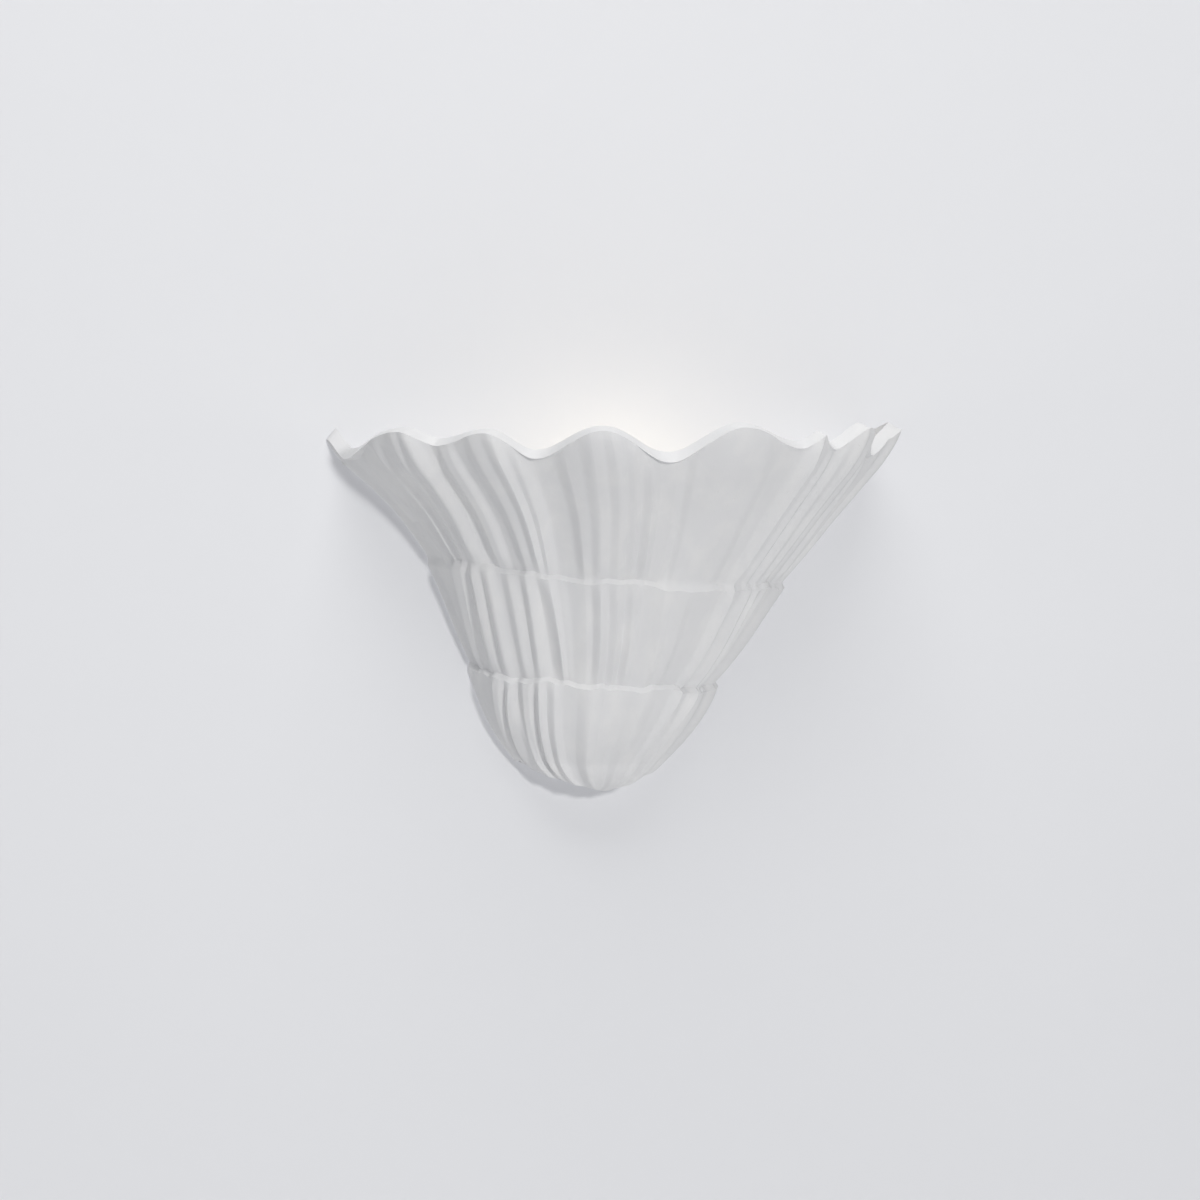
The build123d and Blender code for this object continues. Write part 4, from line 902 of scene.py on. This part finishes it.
# %% [markdown]
# The lampholder's brass shell takes the cap. It is the same thread, a little wider, in a thin sheet
# whose two ends are open, so its section comes back to its first point.


# %% The lampholder's thread shell
SHELL_BOTTOM, SHELL_TOP = -24.8, -5.0
SHELL_THREAD_BOTTOM, SHELL_THREAD_TOP = SHELL_BOTTOM + 3, SHELL_TOP - 0.6
SHEET = 0.35


def thread_shell_profile(turn):
    """The thread shell's section at a turn: up the inside and down the outside."""
    heights = even_heights(SHELL_BOTTOM, SHELL_TOP)
    radii = [thread_radius(turn, z, SHELL_THREAD_BOTTOM, SHELL_THREAD_TOP) for z in heights]
    inner = [(radius + THREAD_GAP, z) for radius, z in zip(radii, heights)]
    outer = [(radius + SHEET, z) for radius, z in reversed(inner)]
    return inner + outer + inner[:1]


brass_shell = turned_grid("threaded_brass_shell", thread_shell_profile)
finish_piece(brass_shell, brass)
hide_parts("thread_shell")
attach(brass_shell, "wall_fixture")

# %% [markdown]
# ## The felt pads
# Four small felt discs keep the back edge off the paint. A disc is a flat cylinder with its faces
# divided, and its fuzz comes from moving every vertex a few hundredths of a millimetre.

# %% Felt pads
PAD_RADIUS = 2.9
PAD_PLACES = [(side, z) for side in (-1, 1) for z in (70.0, -40.0)]
PAD_CUTS = 5
FUZZ = 0.04
FELT_CREASE = 60
random.seed(11)


def edge_middle_x(side, z):
    """The middle of the back edge at a height, on the left or the right."""
    level = z
    for _ in range(4):
        x = smooth_between(CAVITY, level, 2) + side * smooth_between(CAVITY, level, 1)
        level = z - smooth_between(CAVITY, level, 3) * x
    return smooth_between(CAVITY, level, 2) + side * (smooth_between(CAVITY, level, 1) - SHELL_WALL / 2)


def make_pad(side, z):
    """One felt disc on the back edge, with its fuzz."""
    deselect()
    bpy.ops.mesh.primitive_cylinder_add(
        vertices=40,
        radius=PAD_RADIUS * MM,
        depth=WALL_GAP * MM,
        location=Vector((edge_middle_x(side, z), -WALL_GAP / 2, z)) * MM,
        rotation=(math.pi / 2, 0, 0),
        end_fill_type="TRIFAN",
    )
    pad = bpy.context.object
    bpy.ops.object.transform_apply(location=True, rotation=True, scale=False)
    edit(pad, (bpy.ops.mesh.subdivide, {"number_cuts": PAD_CUTS}))
    for vertex in pad.data.vertices:
        vertex.co.x += random.uniform(-FUZZ, FUZZ) * MM
        vertex.co.z += random.uniform(-FUZZ, FUZZ) * MM
        if -0.99 * WALL_GAP * MM < vertex.co.y < -0.01 * WALL_GAP * MM:
            vertex.co.y += random.uniform(-FUZZ, FUZZ) * MM
    return pad


pads = [make_pad(side, z) for side, z in PAD_PLACES]
deselect()
for pad in pads:
    pad.select_set(True)
bpy.context.view_layer.objects.active = pads[0]
bpy.ops.object.join()
pads = bpy.context.object
pads.name = pads.data.name = "felt_discs"
tidy_mesh(pads, FELT_CREASE)
finish_piece(pads, felt)
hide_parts("felt_pads")
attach(pads, "shell")

# %% [markdown]
# ## Wall, floor and light
# The light hangs on a pale wall, and the lamp's glow on that wall is half of what it does. The wall
# shows only from the room's side, so that the light can be looked at from behind too. It has to look
# lit without a lamp for itself alone, so it sends out a little light of its own for the viewer, and
# throws an even light on the plaster, as a real lit wall would.

# %% Stage
WALL_COLOR = (0.72, 0.725, 0.74)
WALL_OWN_LIGHT = (0.055, 0.055, 0.062)
WALL_BOUNCE = (0.66, 0.665, 0.675)
FLOOR_COLOR = (0.78, 0.78, 0.785)
FLOOR_OWN_LIGHT = (0.12, 0.12, 0.12)
FLOOR_Z = -0.9
WALL_WIDTH, WALL_TOP = 5.0, 1.6
WALL_BEHIND = 0.0002
FLOOR_SIZE = 14.0
VIEWING_RAYS = ("Is Camera Ray", "Is Glossy Ray", "Is Transmission Ray")


def seen_by_eye(stage):
    """1 for rays that a viewer sees directly, in gloss or through glass, and 0 for light's own."""
    rays = [stage.node("LightPath", {}, {}, name) for name in VIEWING_RAYS]
    return (rays[0] + rays[1] + rays[2]).clamped()


def join_shaders(stage, kind, first, second, sockets):
    """A Mix or Add shader of two others."""
    joined = stage.node(kind, {}, sockets, "Shader")
    inputs = [s for s in joined.socket.node.inputs if s.type == "SHADER"]
    stage.tree.links.new(first.socket, inputs[0])
    stage.tree.links.new(second.socket, inputs[1])
    return joined


def make_stage_finish(name, color, own_light, bounce=None):
    """A plain matt paint. Its own light lifts its shadows for the viewer, and lights nothing else.

    With a bounce it has a front only: lamps shine through it, and it throws that even light back
    where a lit wall would.
    """
    stage = Finish(name, color, 0.95, Specular_IOR_Level=0.0)
    cloud = stage.noise(60, 3)
    lighter = tuple(1.02 * channel for channel in color)
    stage.feed(stage.shader, "Base Color", stage.mix(cloud, color, lighter))
    seen = seen_by_eye(stage)
    lift = stage.node("Emission", {}, {"Color": own_light, "Strength": seen}, "Emission")
    surface = join_shaders(stage, "AddShader", Value(stage.tree, stage.shader.outputs["BSDF"]), lift, {})
    stage.material.cycles.emission_sampling = "NONE"
    if bounce:
        front = 1 - stage.node("NewGeometry", {}, {}, "Backfacing")
        diffuse = stage.node("LightPath", {}, {}, "Is Diffuse Ray")
        clear = stage.node("BsdfTransparent", {}, {}, "BSDF")
        thrown = stage.node("Emission", {}, {"Color": bounce}, "Emission")
        surface = join_shaders(stage, "MixShader", clear, surface, {"Fac": seen * front})
        surface = join_shaders(stage, "MixShader", surface, thrown, {"Fac": diffuse * front})
    stage.tree.links.new(surface.socket, stage.tree.nodes["Material Output"].inputs["Surface"])
    return stage


deselect()
bpy.ops.mesh.primitive_plane_add(size=1.0, rotation=(math.pi / 2, 0, 0))
wall = bpy.context.object
wall.name = "wall"
wall.scale = (WALL_WIDTH, WALL_TOP - FLOOR_Z, 1.0)
wall.location = (0.0, WALL_BEHIND, (WALL_TOP + FLOOR_Z) / 2)
finish_piece(wall, make_stage_finish("wall_paint", WALL_COLOR, WALL_OWN_LIGHT, WALL_BOUNCE))
deselect()
bpy.ops.mesh.primitive_plane_add(size=FLOOR_SIZE, location=(0, 0, FLOOR_Z))
floor = bpy.context.object
floor.name = "floor"
finish_piece(floor, make_stage_finish("floor_paint", FLOOR_COLOR, FLOOR_OWN_LIGHT))

# %% [markdown]
# A small key light low in front draws the flutes. A big one overhead whitens the lip and the ledges,
# because they are what faces up. Two weak ones fill the underside and the back, and the pale world
# does the rest. Every lamp looks at the same point, a little in front of the wall.

# %% Lamps and world
# Each lamp: azimuth and elevation in degrees, distance and size in metres, power in watts, colour.
SOFTBOXES = {
    "key": (4.0, 14.0, 2.6, 0.25, 23.0, (1.0, 0.99, 0.975)),
    "top": (-20.0, 62.0, 2.6, 1.8, 32.0, (1.0, 0.995, 0.985)),
    "fill": (-30.0, -8.0, 2.6, 2.0, 2.0, (0.97, 0.985, 1.0)),
    "back_fill": (160.0, 25.0, 3.0, 1.6, 20.0, (0.96, 0.98, 1.0)),
}
LAMPS_LOOK_AT = Vector((0.0, -0.05, 0.0))
WORLD_COLOR = (0.95, 0.97, 1.0)
WORLD_STRENGTH = 0.33
WORLD_SEEN = 0.40


def add_softbox(name, azimuth, elevation, distance, size, power, color):
    bpy.ops.object.light_add(type="AREA")
    lamp = bpy.context.object
    lamp.name = name
    lamp.data.size = size
    lamp.data.energy = power
    lamp.data.color = color
    aim(lamp, azimuth, elevation, distance, LAMPS_LOOK_AT)


def make_world():
    """A pale room: dim for its light, and paler where the viewer looks straight at it."""
    world = bpy.data.worlds.new("pale_room")
    world.use_nodes = True
    room = Nodes(world.node_tree)
    background = room.tree.nodes["Background"]
    room.feed(background, "Color", WORLD_COLOR)
    room.feed(background, "Strength", WORLD_STRENGTH + seen_by_eye(room) * WORLD_SEEN)
    return world


for name, settings in SOFTBOXES.items():
    add_softbox(name, *settings)
bpy.context.scene.world = make_world()
bpy.context.scene.view_settings.view_transform = "Standard"
print(len(SOFTBOXES), "softboxes")
